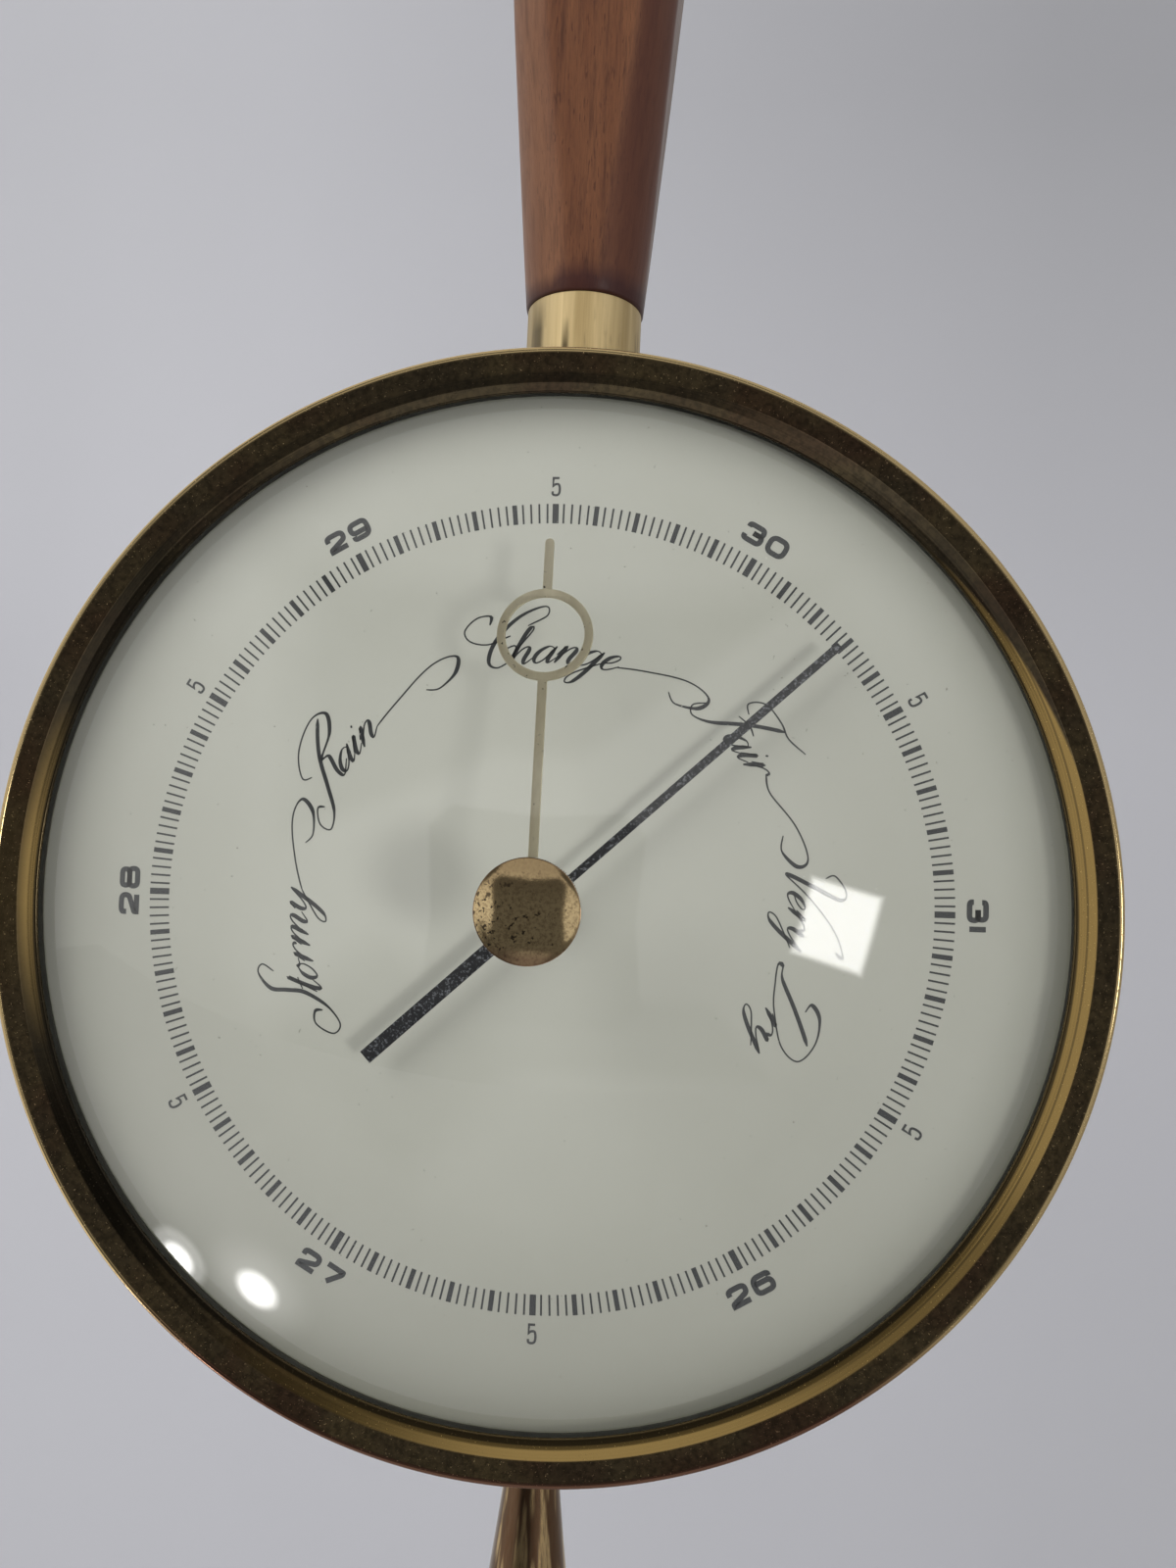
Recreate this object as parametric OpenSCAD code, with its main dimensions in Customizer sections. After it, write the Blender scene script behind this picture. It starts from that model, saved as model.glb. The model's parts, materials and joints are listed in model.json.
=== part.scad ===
// Wall barometer: a round brass case with a domed glass, hung from a walnut shaft.
// Everything is in millimetres. The wall is the plane y = 0, the front faces -y and
// the shaft points up along +z. The origin is where the dial's axis meets the wall.

/* [Case] */
// Outer diameter of the drum
case_d = 148; // [130:1:180]
// Sheet thickness of the drum
case_wall = 1; // [0.6:0.1:2]
// Radius of the drum's back edge
case_corner = 5; // [2:0.5:8]
// Height of the dial's face above the wall
dial_height = 40; // [39:0.5:52]
// Width of the inward flange that the dial sits on
seat_w = 7; // [5:0.5:10]
// Diameter of the hole that gives access to the calibration screw
cal_hole_d = 8; // [6:0.5:10]
// Diameter of the three vent holes in the back
vent_d = 3; // [1:0.5:5]

/* [Bezel] */
// How far the bead stands out past the drum, on the radius
bezel_overhang = 1.5; // [1.2:0.1:3]
// Width of the ring from its outer edge to the lip on the glass
bezel_w = 6.2; // [5.4:0.1:7.5]
// Height of the bead's top above the dial's face
bezel_rise = 4.9; // [4.4:0.1:6]
// Gap between the lip's lower edge and the glass, along the axis
lip_gap = 0.08; // [0.05:0.01:0.2]
// Radius of the bead round the outer edge
bead_r = 0.9; // [0.8:0.1:1.5]
// Length of the skirt behind the dial's face
skirt_l = 9; // [6:0.5:14]
// Sheet thickness of the bezel
bezel_skin = 0.8; // [0.5:0.1:0.9]

/* [Glass] */
// Thickness of the glass
glass_t = 1.7; // [1.2:0.1:2.2]
// Rise of the glass from its edge to its middle, inside
glass_rise = 17.7; // [14:0.1:22]
// Gap from the glass edge to the drum's outside, on the radius
glass_inset = 2.4; // [2:0.1:4]
// Thickness of the gasket
gasket_t = 0.3; // [0.2:0.1:0.6]

/* [Dial] */
// Thickness of the dial plate
dial_t = 0.8; // [0.5:0.1:1.2]
// Diameter of the dial's middle hole
dial_hole_d = 8; // [6:0.5:9]
// Reading that the hand points to, in inches of mercury
reading = 30.293; // [28:0.001:31]
// Turn of the printed dial against the shaft, in degrees clockwise
dial_turn = -1; // [-3:0.1:3]

/* [Pressure hand] */
// Length of the pointer
pointer_l = 52; // [40:0.5:54]
// Width of the pointer
pointer_w = 1.15; // [0.8:0.05:1.6]
// Length of the tail
tail_l = 31; // [20:0.5:40]
// Width of the tail
tail_w = 1.97; // [1.2:0.01:3]
// Height of the hand above the dial
hand_lift = 3.6; // [3:0.1:6]
// Thickness of the hand
hand_t = 0.35; // [0.25:0.05:0.5]

/* [Set hand and knob] */
// Diameter of the knob
knob_d = 12.9; // [9:0.1:16]
// Thickness of the knob
knob_t = 2.4; // [2:0.1:4]
// Number of knurls round the knob
knurls = 72; // [36:4:96]
// Diameter of the spindle
spindle_d = 3; // [2.5:0.1:4]
// Length of the set hand from the axis to its tip
set_hand_l = 47.4; // [40:0.1:49]
// Distance of the ring's middle from the axis
ring_at = 34.5; // [28:0.1:36]
// Outer diameter of the ring
ring_d = 12.3; // [8:0.1:13]
// Width of the ring's band
ring_band = 1.1; // [0.8:0.05:1.4]
// Width of the set hand's stick
stick_w = 1.2; // [0.8:0.05:1.6]
// Thickness of the set hand
set_hand_t = 0.4; // [0.3:0.05:0.6]
// Slope of the set hand from its hub down to its tip, in degrees
droop = 10.4; // [10:0.1:12]
// Angle that the set hand is left at, in degrees clockwise on the dial
set_angle = 0.3; // [-90:0.1:90]

/* [Shaft] */
// Height of the shaft's axis above the wall
shaft_axis = 18.3; // [17.5:0.1:19.5]
// Outer diameter of the ferrule
ferrule_d = 17.9; // [14:0.1:20]
// Wall of the ferrule
ferrule_wall = 1.05; // [0.7:0.05:1.5]
// Length of the ferrule outside the drum
ferrule_l = 17.5; // [12:0.5:26]
// Width of the wood where it meets the ferrule
wood_foot_w = 18.5; // [18.2:0.1:21]
// Width of the wood at its widest
wood_w = 32.8; // [26:0.1:33.4]
// Distance from the ferrule to the widest place
swell_at = 133; // [100:1:160]
// Length of the wood above the ferrule
wood_l = 239; // [210:1:280]
// Width of the wood at its top
wood_top_w = 18; // [15:0.1:24]
// Length of the tenon in the ferrule
tenon_l = 13; // [10:0.5:16]

/* [Top cap] */
// Length of the cap
cap_l = 15; // [12:0.5:24]
// Wall of the cap
cap_wall = 1; // [0.7:0.1:1.5]

/* [Finial] */
// Length of the finial below the drum
finial_l = 61; // [45:1:80]
// Diameter at the drum
finial_neck_d = 6; // [5.4:0.1:8]
// Diameter at its widest
finial_d = 19; // [14:0.1:24]

/* [Hanger] */
// Height of the hanger plate's middle above the dial's axis
hang_at = 226; // [205:1:240]
// Width of the hanger plate
plate_w = 15; // [14:0.5:18]
// Length of the hanger plate
plate_l = 38; // [36:0.5:44]
// Thickness of the hanger plate
plate_t = 1.4; // [1:0.1:2]
// Diameter of the keyhole's round part
keyhole_d = 8.4; // [7:0.1:9]
// Width of the keyhole's slot
keyslot_w = 4.4; // [4.1:0.1:5]
// Length from the round part's middle to the slot's end
keyslot_l = 11; // [8:0.5:12]
// Depth of the pocket behind the plate
pocket_depth = 6.5; // [5:0.5:8]

/* [Movement] */
// Radius of the movement's two plates
plate_r = 35; // [34.5:0.5:42]
// Thickness of the movement's plates
frame_t = 1.4; // [1:0.1:1.8]
// Diameter of the aneroid capsule
capsule_d = 44; // [38:1:44]
// Height of the capsule
capsule_h = 7.6; // [6:0.1:8]
// Lift of the base plate above the drum's back
base_lift = 3.4; // [3:0.1:5]
// Teeth on the pinion
pinion_teeth = 10; // [8:1:12]
// Teeth that the sector gear would have on a full circle
sector_teeth = 100; // [90:1:110]
// Tooth module of the two gears
gear_module = 0.45; // [0.4:0.01:0.5]
// Distance from the rocker's axis to the capsule's post
rocker_arm = 6; // [5:0.1:7]
// Distance from the sector's axis to its driving pin
sector_tail = 3; // [2.8:0.1:3.6]
// Lowest reading that the hand can reach
lowest = 26; // [25.5:0.1:27]
// Highest reading that the hand can reach
highest = 31.2; // [31.1:0.1:31.5]

/* [Hidden] */
$fn = 96;
// Clearance of turning fits, of pieces pressed or screwed together, and round through holes.
run_gap = 0.05;
press_gap = 0.02;
hole_gap = 0.3;
// A small overlap for clean cuts.
cut = 0.1;

case_r = case_d / 2;
dial_back = dial_height - dial_t;
seat_top = dial_back;
dial_r = case_r - glass_inset - 0.2;
glass_r = case_r - glass_inset;
glass_foot = dial_height + gasket_t;
// The glass is cut from two spheres about one point on the axis.
glass_flat = 0.6;
glass_edge_r = glass_r - glass_flat;
glass_in_r = (glass_edge_r * glass_edge_r + glass_rise * glass_rise) / (2 * glass_rise);
glass_out_r = glass_in_r + glass_t;
glass_centre = glass_foot + glass_rise - glass_in_r;
glass_low = glass_foot + glass_rise;
glass_high = glass_low + glass_t;

bezel_r = case_r + bezel_overhang;
lip_r = bezel_r - bezel_w;
// The lip lies on the glass, so it follows the glass when the drum's size is changed.
lip_top = glass_centre + sqrt(glass_out_r * glass_out_r - lip_r * lip_r) + lip_gap + 0.65 * bezel_skin;
bezel_top = dial_height + bezel_rise;
skirt_r = case_r + run_gap + bezel_skin;

// Hand angles in degrees clockwise from the shaft.
degrees_per_inch = 60;
reading_at_top = 29.5;
hand_angle = (reading - reading_at_top) * degrees_per_inch + dial_turn;
set_hand_angle = set_angle + dial_turn;
hand_down = (lowest - reading) * degrees_per_inch;
hand_up = (highest - reading) * degrees_per_inch;
hand_z = dial_height + hand_lift;

// Set hand's spindle, from the knob down.
washer_t = 0.35;
knob_z = glass_high + washer_t + run_gap;
spring_t = 0.6;
set_hand_z = glass_low - 0.1 - spring_t - set_hand_t;
spindle_nut_h = 1.2;
spindle_end = set_hand_z - spindle_nut_h - 0.5;
spindle_r = spindle_d / 2;
// Where the set hand bends down, outside the nut's corners.
bend_at = 3;

// Gear train: the sector turns against the hand.
gear_ratio = sector_teeth / pinion_teeth;
sector_r = sector_teeth * gear_module / 2;
pinion_r = pinion_teeth * gear_module / 2;
centre_distance = sector_r + pinion_r;
sector_low = -hand_up / gear_ratio;
sector_high = -hand_down / gear_ratio;
sector_mid = (sector_low + sector_high) / 2;
sector_half = (sector_high - sector_low) / 2;
sector_y = rocker_arm;
sector_x = sqrt(centre_distance * centre_distance - sector_y * sector_y);
mesh_angle = atan2(sector_y, sector_x);

// Heights above the wall in the movement.
base_z = case_wall + base_lift;
base_top = base_z + frame_t;
top_z = dial_back - 3.2 - frame_t;
top_top = top_z + frame_t;
capsule_z = base_top + 2.2;
capsule_top_z = capsule_z + capsule_h;
rocker_z = capsule_top_z + 2.8;
spring_z = rocker_z + 1.5;
spring_leaf = 1.2;
bridge_z = rocker_z + 5.6;
bridge_t = 1.2;
pin_contact_z = bridge_z + bridge_t + 2;
rocker_reach = pin_contact_z - rocker_z;
sector_z = pin_contact_z + 1.1;
sector_t = 1;
pinion_z = sector_z - 1.2;
pinion_l = 3.2;
collet_z = pinion_z + pinion_l + 0.5;
collet_h = 1.4;
hairspring_z = collet_z + 0.3;
hairspring_h = 0.8;

// The rocker's swing for a swing of the sector, and how far both stand from mid travel at rest.
rocker_half = asin(sector_tail * sin(sector_half) / rocker_reach);
rocker_share = rocker_half / sector_half;
rocker_rest = rocker_share * sector_mid;
post_drop = rocker_arm * sin(rocker_rest);
fork_x = sector_x - sector_tail;

post_r = 1.2;
pivot_r = 0.5;
arbor_r = 1;
arbor_neck_r = 0.9;
sector_pin_r = 0.5;
pillar_r = 2.5;
pillar_at = plate_r - 4;
pillar_angles = [90, 215, 325];
screw_r = 0.9;
frame_head_r = 1.9;
frame_head_h = 1.2;
screw_bite = 5;
post_at = 31.5;
bridge_w = 9.5;
foot_at = 24;
foot_angles = [30, 150, 270];
foot_r = 1.5;
small_nut = 5.5;
small_nut_h = 1.8;
thread_past = 0.8;
bracket_x = 26.3;
bracket_t = 1.5;
bracket_foot_t = 1.2;
bracket_foot_w = 8;
bracket_foot_l = 5.4;
bracket_screw_x = bracket_x + 3.2;
spring_w = 12;
spring_foot_y = plate_r - 1.4;
spring_rise_y = capsule_d / 2 + 3.4;
cal_y = spring_rise_y + 2.7;
cal_r = 1.5;
cal_head_r = 3;
spring_screw_x = 3.8;
spring_screw_y = spring_foot_y - 2;

ferrule_r = ferrule_d / 2;
ferrule_end = case_r + ferrule_l;
tenon_r = ferrule_r - ferrule_wall - press_gap;
wood_end = ferrule_end + wood_l;
swell_y = ferrule_end + swell_at;
shaft_screw_r = 2.5;
shaft_screw_l = 60;
shaft_screw_head_r = 4.5;
shaft_screw_head_h = 3;
washer_wide = 6;
plain_washer_t = 1.2;
finial_screw_r = 1.6;
finial_screw_l = 22;
finial_screw_head_r = 3.2;
finial_screw_head_h = 2.2;

// Height at which a flat washer of radius r meets the drum's inside.
function washer_seat(r) = sqrt((case_r - case_wall) * (case_r - case_wall) - r * r) - 0.05;
shaft_seat = washer_seat(washer_wide);
finial_washer_r = 4.5;
finial_seat = washer_seat(finial_washer_r);

// Half width of the wood at height y: straight from the ferrule, then a swell, then a taper.
wood_straight = 0.42;
foot_half = wood_foot_w / 2;
swell_half = wood_w / 2;
straight_end = ferrule_end + swell_at * wood_straight;
straight_gain = (swell_half - foot_half) * 2 * wood_straight / (1 + wood_straight);
function wood_half(y) =
    y < straight_end
        ? foot_half + straight_gain * (y - ferrule_end) / (straight_end - ferrule_end)
        : y < swell_y
            ? swell_half - (swell_half - foot_half - straight_gain)
                * pow((swell_y - y) / (swell_y - straight_end), 2)
            : swell_half - (swell_half - wood_top_w / 2)
                * pow((y - swell_y) / (wood_end - swell_y), 1.9);
// The turned corners stand out past the four planed sides, from nothing at both ends.
corner_share = 0.141;
function corner_r(y) =
    wood_half(y) * (1 + corner_share * min(1, (y - ferrule_end) / 40, (wood_end - y) / 60));

wood_steps = 14;
function wood_y(i) = ferrule_end + wood_l * i / wood_steps;

// Points of an arc about c, from angle a to angle b in n steps.
function arc(c, r, a, b, n) =
    [for (i = [0:n]) [c[0] + r * cos(a + (b - a) * i / n), c[1] + r * sin(a + (b - a) * i / n)]];

// Lays a piece drawn on a table, face up, against the wall: its y goes up, its z out of the wall.
module on_wall() {
    rotate([90, 0, 0]) children();
}

// Turns a piece clockwise on the dial, as seen from the front.
module clockwise(angle) {
    rotate([0, 0, -angle]) children();
}

// Points the z axis of a piece up the shaft, on the shaft's axis.
module up_shaft() {
    translate([0, 0, shaft_axis]) rotate([-90, 0, 0]) children();
}

// Points the z axis of a piece down the finial.
module down_shaft() {
    translate([0, 0, shaft_axis]) rotate([90, 0, 0]) children();
}

module rod(r, z_from, z_to) {
    translate([0, 0, z_from]) cylinder(r = r, h = z_to - z_from);
}

module tube(r_out, r_in, z_from, z_to) {
    difference() {
        rod(r_out, z_from, z_to);
        rod(r_in, z_from - cut, z_to + cut);
    }
}

// A cheese-head screw: the head's seat is at z = 0 and the shank points down.
module screw(head_r, head_h, shank_r, shank_l, slot_w = 0.6) {
    difference() {
        union() {
            rod(head_r, 0, head_h);
            rod(shank_r, -shank_l, cut);
        }
        translate([-head_r - cut, -slot_w / 2, head_h * 0.6])
            cube([2 * head_r + 2 * cut, slot_w, head_h]);
    }
}

// A screw through a plate of this thickness into a pillar or post.
module frame_screw(through) {
    screw(frame_head_r, frame_head_h, screw_r, through + screw_bite);
}

module hex_nut(across, h, bore_r) {
    difference() {
        cylinder(d = across / cos(30), h = h, $fn = 6);
        rod(bore_r, -cut, h + cut);
    }
}

module at_polar(r, angles) {
    for (a = angles) rotate([0, 0, a]) translate([r, 0, 0]) children();
}

module case_profile() {
    back_arc = arc([case_r - case_corner, case_corner], case_corner, -90, 0, 6);
    inner_r = max(case_corner - case_wall, 0.5);
    inner_arc = arc([case_r - case_wall - inner_r, case_wall + inner_r], inner_r, 0, -90, 6);
    polygon(concat(
        [[0, 0]],
        back_arc,
        [[case_r, seat_top], [case_r - seat_w, seat_top], [case_r - seat_w, seat_top - case_wall],
         [case_r - case_wall, seat_top - case_wall]],
        inner_arc,
        [[0, case_wall]]
    ));
}

module case() {
    vent_at = case_r * 0.62;
    color("#a8884a")
    on_wall()
    difference() {
        rotate_extrude() case_profile();
        translate([0, -cal_y, 0]) rod(cal_hole_d / 2, -cut, case_wall + cut);
        at_polar(vent_at, [60, 90, 120]) rod(vent_d / 2, -cut, case_wall + cut);
        up_shaft() rod(shaft_screw_r + hole_gap, case_r * 0.8, case_r + cut);
        down_shaft() rod(finial_screw_r + hole_gap, case_r * 0.8, case_r + cut);
    }
}

// Section of the bezel: skirt, bead, step, dished face and lip, then back along the inside.
module bezel_profile() {
    bead_c = [bezel_r - bead_r, bezel_top - bead_r];
    face_out = [bezel_r - 2 * bead_r + 0.3, bezel_top - 0.5];
    face_dip = [lip_r + (face_out[0] - lip_r) * 0.42, lip_top + 0.08];
    polygon(concat(
        [[skirt_r, dial_height - skirt_l], [skirt_r, bead_c[1] - bead_r * 0.8]],
        arc(bead_c, bead_r, -45, 150, 12),
        [[face_out[0] + 0.18, face_out[1]], face_out,
         [(face_out[0] + face_dip[0]) / 2, (face_out[1] + face_dip[1]) / 2 - 0.12], face_dip],
        arc([lip_r + 0.28, lip_top - 0.28], 0.28, 90, 180, 5),
        [[lip_r, lip_top - bezel_skin * 0.65], [lip_r + 0.7, lip_top - bezel_skin],
         [face_dip[0], face_dip[1] - bezel_skin], [case_r - 1, face_out[1] - bezel_skin - 0.4],
         [case_r + run_gap, face_out[1] - bezel_skin - 1], [case_r + run_gap, dial_height - skirt_l]]
    ));
}

module bezel() {
    color("#8a6f3a")
    on_wall()
    rotate_extrude() bezel_profile();
}

module glass_dome() {
    color([0.8, 0.88, 0.85, 0.35])
    on_wall()
    difference() {
        intersection() {
            translate([0, 0, glass_centre]) sphere(r = glass_out_r);
            rod(glass_r, glass_foot, glass_high + 1);
        }
        translate([0, 0, glass_centre]) sphere(r = glass_in_r);
        rod(spindle_r + run_gap + 0.2, glass_low - 2, glass_high + 1);
    }
}

module glass_gasket() {
    color("#3c3a34")
    on_wall()
    tube(glass_r, glass_r - 2, dial_height, glass_foot);
}

module dial_plate() {
    color("#c9cabf")
    on_wall()
    tube(dial_r, dial_hole_d / 2, dial_back, dial_height);
}

// Three shouldered studs on the dial's back, threaded below the shoulder.
module dial_feet() {
    color("#b5965a")
    on_wall()
    at_polar(foot_at, foot_angles) {
        rod(foot_r + 1, top_top, dial_back);
        rod(foot_r, top_z - small_nut_h - thread_past, top_top + cut);
    }
}

module dial_nuts() {
    color("#c2a66a")
    on_wall()
    at_polar(foot_at, foot_angles)
    translate([0, 0, top_z - small_nut_h]) hex_nut(small_nut, small_nut_h, foot_r + press_gap);
}

module pressure_hand() {
    color("#17171c")
    on_wall()
    clockwise(hand_angle)
    translate([0, 0, hand_z])
    difference() {
        linear_extrude(height = hand_t) union() {
            circle(r = hand_disc_r);
            polygon([[-pointer_w / 2, 0], [pointer_w / 2, 0], [pointer_w / 2, pointer_l],
                     [-pointer_w / 2, pointer_l]]);
            polygon([[-tail_w / 2, 0], [-tail_w / 2, -tail_l], [tail_w / 2, -tail_l],
                     [tail_w / 2, 0]]);
        }
        rod(hub_neck_r + press_gap, -cut, hand_t + cut);
    }
}

hub_top = hand_z + hand_t + 1;
arbor_top = hub_top + 0.3;
arbor_tip_r = 0.75;
hub_neck_r = 1.4;
hub_below = 1.2;
hand_disc_r = 2.3;

// The collet that carries the hand on its arbor.
module hand_hub() {
    color("#1c1c20")
    on_wall()
    difference() {
        union() {
            rod(hub_neck_r + 0.6, hand_z - hub_below, hand_z);
            rod(hub_neck_r, hand_z - cut, hub_top);
        }
        rod(arbor_tip_r + press_gap, hand_z - 2, hub_top + cut);
    }
}

// A flat hub under the glass, and from it a stick with a ring, sloping down towards the dial.
module set_hand() {
    slope_l = (set_hand_l - bend_at) / cos(droop);
    ring_y = (ring_at - bend_at) / cos(droop);
    tip_y = slope_l - stick_w / 2;
    band_mid = (ring_d - ring_band) / 2;
    color("#c8a766")
    on_wall()
    clockwise(set_hand_angle)
    translate([0, 0, set_hand_z])
    difference() {
        union() {
            rod(bend_at + 0.6, 0, set_hand_t);
            translate([0, bend_at, 0])
            rotate([-droop, 0, 0])
            linear_extrude(height = set_hand_t)
            difference() {
                union() {
                    translate([-stick_w / 2, 0]) square([stick_w, ring_y - band_mid]);
                    translate([0, ring_y]) circle(d = ring_d);
                    translate([-stick_w / 2, ring_y + band_mid])
                        square([stick_w, tip_y - ring_y - band_mid]);
                    translate([0, tip_y]) circle(d = stick_w);
                }
                translate([0, ring_y]) circle(r = ring_d / 2 - ring_band);
            }
        }
        rod(spindle_r + press_gap, -cut, set_hand_t + cut);
    }
}

module set_knob() {
    knob_r = knob_d / 2;
    knurl_depth = 0.22;
    rim = 0.35;
    color("#c09a4e")
    on_wall() {
        translate([0, 0, knob_z + rim])
            linear_extrude(height = knob_t - 2 * rim)
            polygon([for (i = [0:2 * knurls - 1])
                let (r = knob_r - (i % 2) * knurl_depth, a = 180 * i / knurls)
                [r * cos(a), r * sin(a)]]);
        translate([0, 0, knob_z]) cylinder(r1 = knob_r - 0.6, r2 = knob_r - 0.3, h = rim);
        translate([0, 0, knob_z + knob_t - rim])
            cylinder(r1 = knob_r - 0.3, r2 = knob_r - 0.6, h = rim);
        rod(spindle_r, spindle_end, knob_z + cut);
    }
}

module knob_washer() {
    color("#5b4a35")
    on_wall()
    tube(4.5, spindle_r + run_gap, glass_high, glass_high + washer_t);
}

// A cupped spring washer, its rim up against the glass.
module spindle_spring() {
    z = set_hand_z + set_hand_t;
    r_in = spindle_r + run_gap;
    color("#9a9ca0")
    on_wall()
    rotate_extrude()
    polygon([[r_in, z], [r_in + 1, z], [r_in + 2.2, z + spring_t - 0.25], [r_in + 2.2, z + spring_t],
             [r_in + 1.9, z + spring_t], [r_in + 0.9, z + 0.25], [r_in, z + 0.25]]);
}

module spindle_nut() {
    color("#b08d4c")
    on_wall()
    translate([0, 0, set_hand_z - spindle_nut_h]) hex_nut(5, spindle_nut_h, spindle_r + press_gap);
}

// The collar between drum and wood, coped to the drum.
module ferrule() {
    color("#c7a455")
    on_wall()
    difference() {
        up_shaft() tube(ferrule_r, tenon_r + press_gap, case_r - 1.5, ferrule_end);
        rod(case_r + press_gap, 0, dial_height);
    }
}

module planed_sides() {
    left = [for (i = [0:wood_steps]) [-wood_half(wood_y(i)), wood_y(i)]];
    right = [for (i = [wood_steps:-1:0]) [wood_half(wood_y(i)), wood_y(i)]];
    polygon(concat(left, right));
}

module turned_corners() {
    rotate_extrude()
    polygon(concat(
        [[0, ferrule_end]],
        [for (i = [0:wood_steps]) [corner_r(wood_y(i)), wood_y(i)]],
        [[0, wood_end]]
    ));
}

cap_tenon_r = wood_top_w / 2 - cap_wall;
cap_tenon_l = cap_l - 4;
cap_pin_r = 0.58;
cap_pin_y = wood_end + cap_l * 0.35;

module wood_shaft() {
    deep = 2 * wood_w;
    color("#7a4a30")
    on_wall()
    difference() {
        union() {
            up_shaft() intersection() {
                turned_corners();
                translate([0, wood_w, 0]) rotate([90, 0, 0])
                    linear_extrude(height = deep) planed_sides();
                translate([-wood_w, 0, 0]) rotate([90, 0, 90])
                    linear_extrude(height = deep) planed_sides();
            }
            up_shaft() rod(tenon_r, ferrule_end - tenon_l, ferrule_end + cut);
            up_shaft() rod(cap_tenon_r, wood_end - cut, wood_end + cap_tenon_l);
        }
        up_shaft() rod(shaft_screw_r + press_gap, case_r, shaft_seat + shaft_screw_l + 2);
        hanger_recess();
        up_shaft() translate([0, 0, cap_pin_y]) rotate([90, 0, 0]) rod(cap_pin_r + press_gap, 0, wood_w);
    }
}

hanger_back = shaft_axis - wood_half(hang_at) + 0.15;
hanger_front = hanger_back + plate_t;
keyhole_y = hang_at - keyslot_l / 2;
hanger_screw_at = plate_l / 2 - 4;
hanger_screw_r = 1.2;
hanger_screw_l = 9;
sink_r = 2.4;

module rounded_bar(w, l) {
    translate([0, (l - w) / 2]) circle(d = w);
    translate([0, -(l - w) / 2]) circle(d = w);
    square([w, l - w], center = true);
}

// The pocket for the plate, the room for a screw's head behind it and two pilot holes.
module hanger_recess() {
    head_room = 1;
    translate([0, hang_at, hanger_front - 4])
        linear_extrude(height = 4) rounded_bar(plate_w + 2 * run_gap, plate_l + 2 * run_gap);
    translate([0, keyhole_y, hanger_front - cut])
        linear_extrude(height = pocket_depth + cut)
        translate([0, keyslot_l / 2 - head_room / 2])
        rounded_bar(keyhole_d + head_room, keyslot_l + keyhole_d + head_room);
    for (side = [-1, 1])
        translate([0, hang_at + side * hanger_screw_at, hanger_front - cut])
        rod(hanger_screw_r + press_gap, 0, hanger_screw_l + cut);
}

module hanger_plate() {
    color("#8f8f92")
    on_wall()
    difference() {
        translate([0, hang_at, hanger_back])
            linear_extrude(height = plate_t) rounded_bar(plate_w, plate_l);
        translate([0, keyhole_y, 0]) rod(keyhole_d / 2, hanger_back - cut, hanger_front + cut);
        translate([-keyslot_w / 2, keyhole_y, hanger_back - cut])
            cube([keyslot_w, keyslot_l - keyslot_w / 2, plate_t + 2 * cut]);
        translate([0, keyhole_y + keyslot_l - keyslot_w / 2, 0])
            rod(keyslot_w / 2, hanger_back - cut, hanger_front + cut);
        for (side = [-1, 1])
            translate([0, hang_at + side * hanger_screw_at, 0]) {
                rod(hanger_screw_r + press_gap, hanger_back - cut, hanger_front + cut);
                translate([0, 0, hanger_back - cut])
                    cylinder(r1 = sink_r + press_gap + cut, r2 = hanger_screw_r + press_gap,
                             h = sink_r - hanger_screw_r + cut);
            }
    }
}

// Two countersunk screws, flush with the plate's back.
module hanger_screws() {
    color("#a9a9ad")
    on_wall()
    for (side = [-1, 1])
        translate([0, hang_at + side * hanger_screw_at, hanger_back])
        difference() {
            union() {
                cylinder(r1 = sink_r, r2 = hanger_screw_r, h = sink_r - hanger_screw_r);
                rod(hanger_screw_r, sink_r - hanger_screw_r - cut, hanger_screw_l);
                translate([0, 0, hanger_screw_l]) cylinder(r1 = hanger_screw_r, r2 = 0.3, h = 1.4);
            }
            translate([-3, -0.3, -cut]) cube([6, 0.6, 0.5 + cut]);
        }
}

// Passes from inside the drum, through the tenon and into the wood.
module shaft_screw() {
    color("#a5a6a8")
    on_wall()
    up_shaft()
    translate([0, 0, shaft_seat - plain_washer_t])
    rotate([180, 0, 0])
    screw(shaft_screw_head_r, shaft_screw_head_h, shaft_screw_r, shaft_screw_l, 1.2);
}

module shaft_washer() {
    color("#b9babd")
    on_wall()
    up_shaft()
    tube(washer_wide, shaft_screw_r + hole_gap, shaft_seat - plain_washer_t, shaft_seat);
}

module top_cap() {
    bore_r = cap_tenon_r + press_gap;
    cap_r = wood_top_w / 2;
    crown = 3.2;
    color("#c7a455")
    on_wall()
    up_shaft()
    translate([0, 0, wood_end])
    difference() {
        rotate_extrude()
            polygon(concat(
                [[0, 0], [cap_r, 0]],
                [for (i = [0:6]) [cap_r * cos(15 * i), cap_l - crown + crown * sin(15 * i)]],
                [[0, cap_l]]
            ));
        rod(bore_r, -cut, cap_tenon_l + press_gap);
        translate([0, 0, cap_pin_y - wood_end]) rotate([90, 0, 0])
            rod(cap_pin_r + press_gap, 0, cap_r + cut);
    }
}

// A fine nail through the cap's back wall into the wood.
module cap_pin() {
    color("#b08d4c")
    on_wall()
    up_shaft()
    translate([0, 0, cap_pin_y])
    rotate([90, 0, 0]) {
        rod(cap_pin_r, cap_tenon_r - 4, wood_top_w / 2);
        rod(cap_pin_r + 0.42, wood_top_w / 2, wood_top_w / 2 + 0.4);
    }
}

finial_neck_r = finial_neck_d / 2;
finial_r = finial_d / 2;
finial_body_l = finial_l - finial_r;
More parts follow.
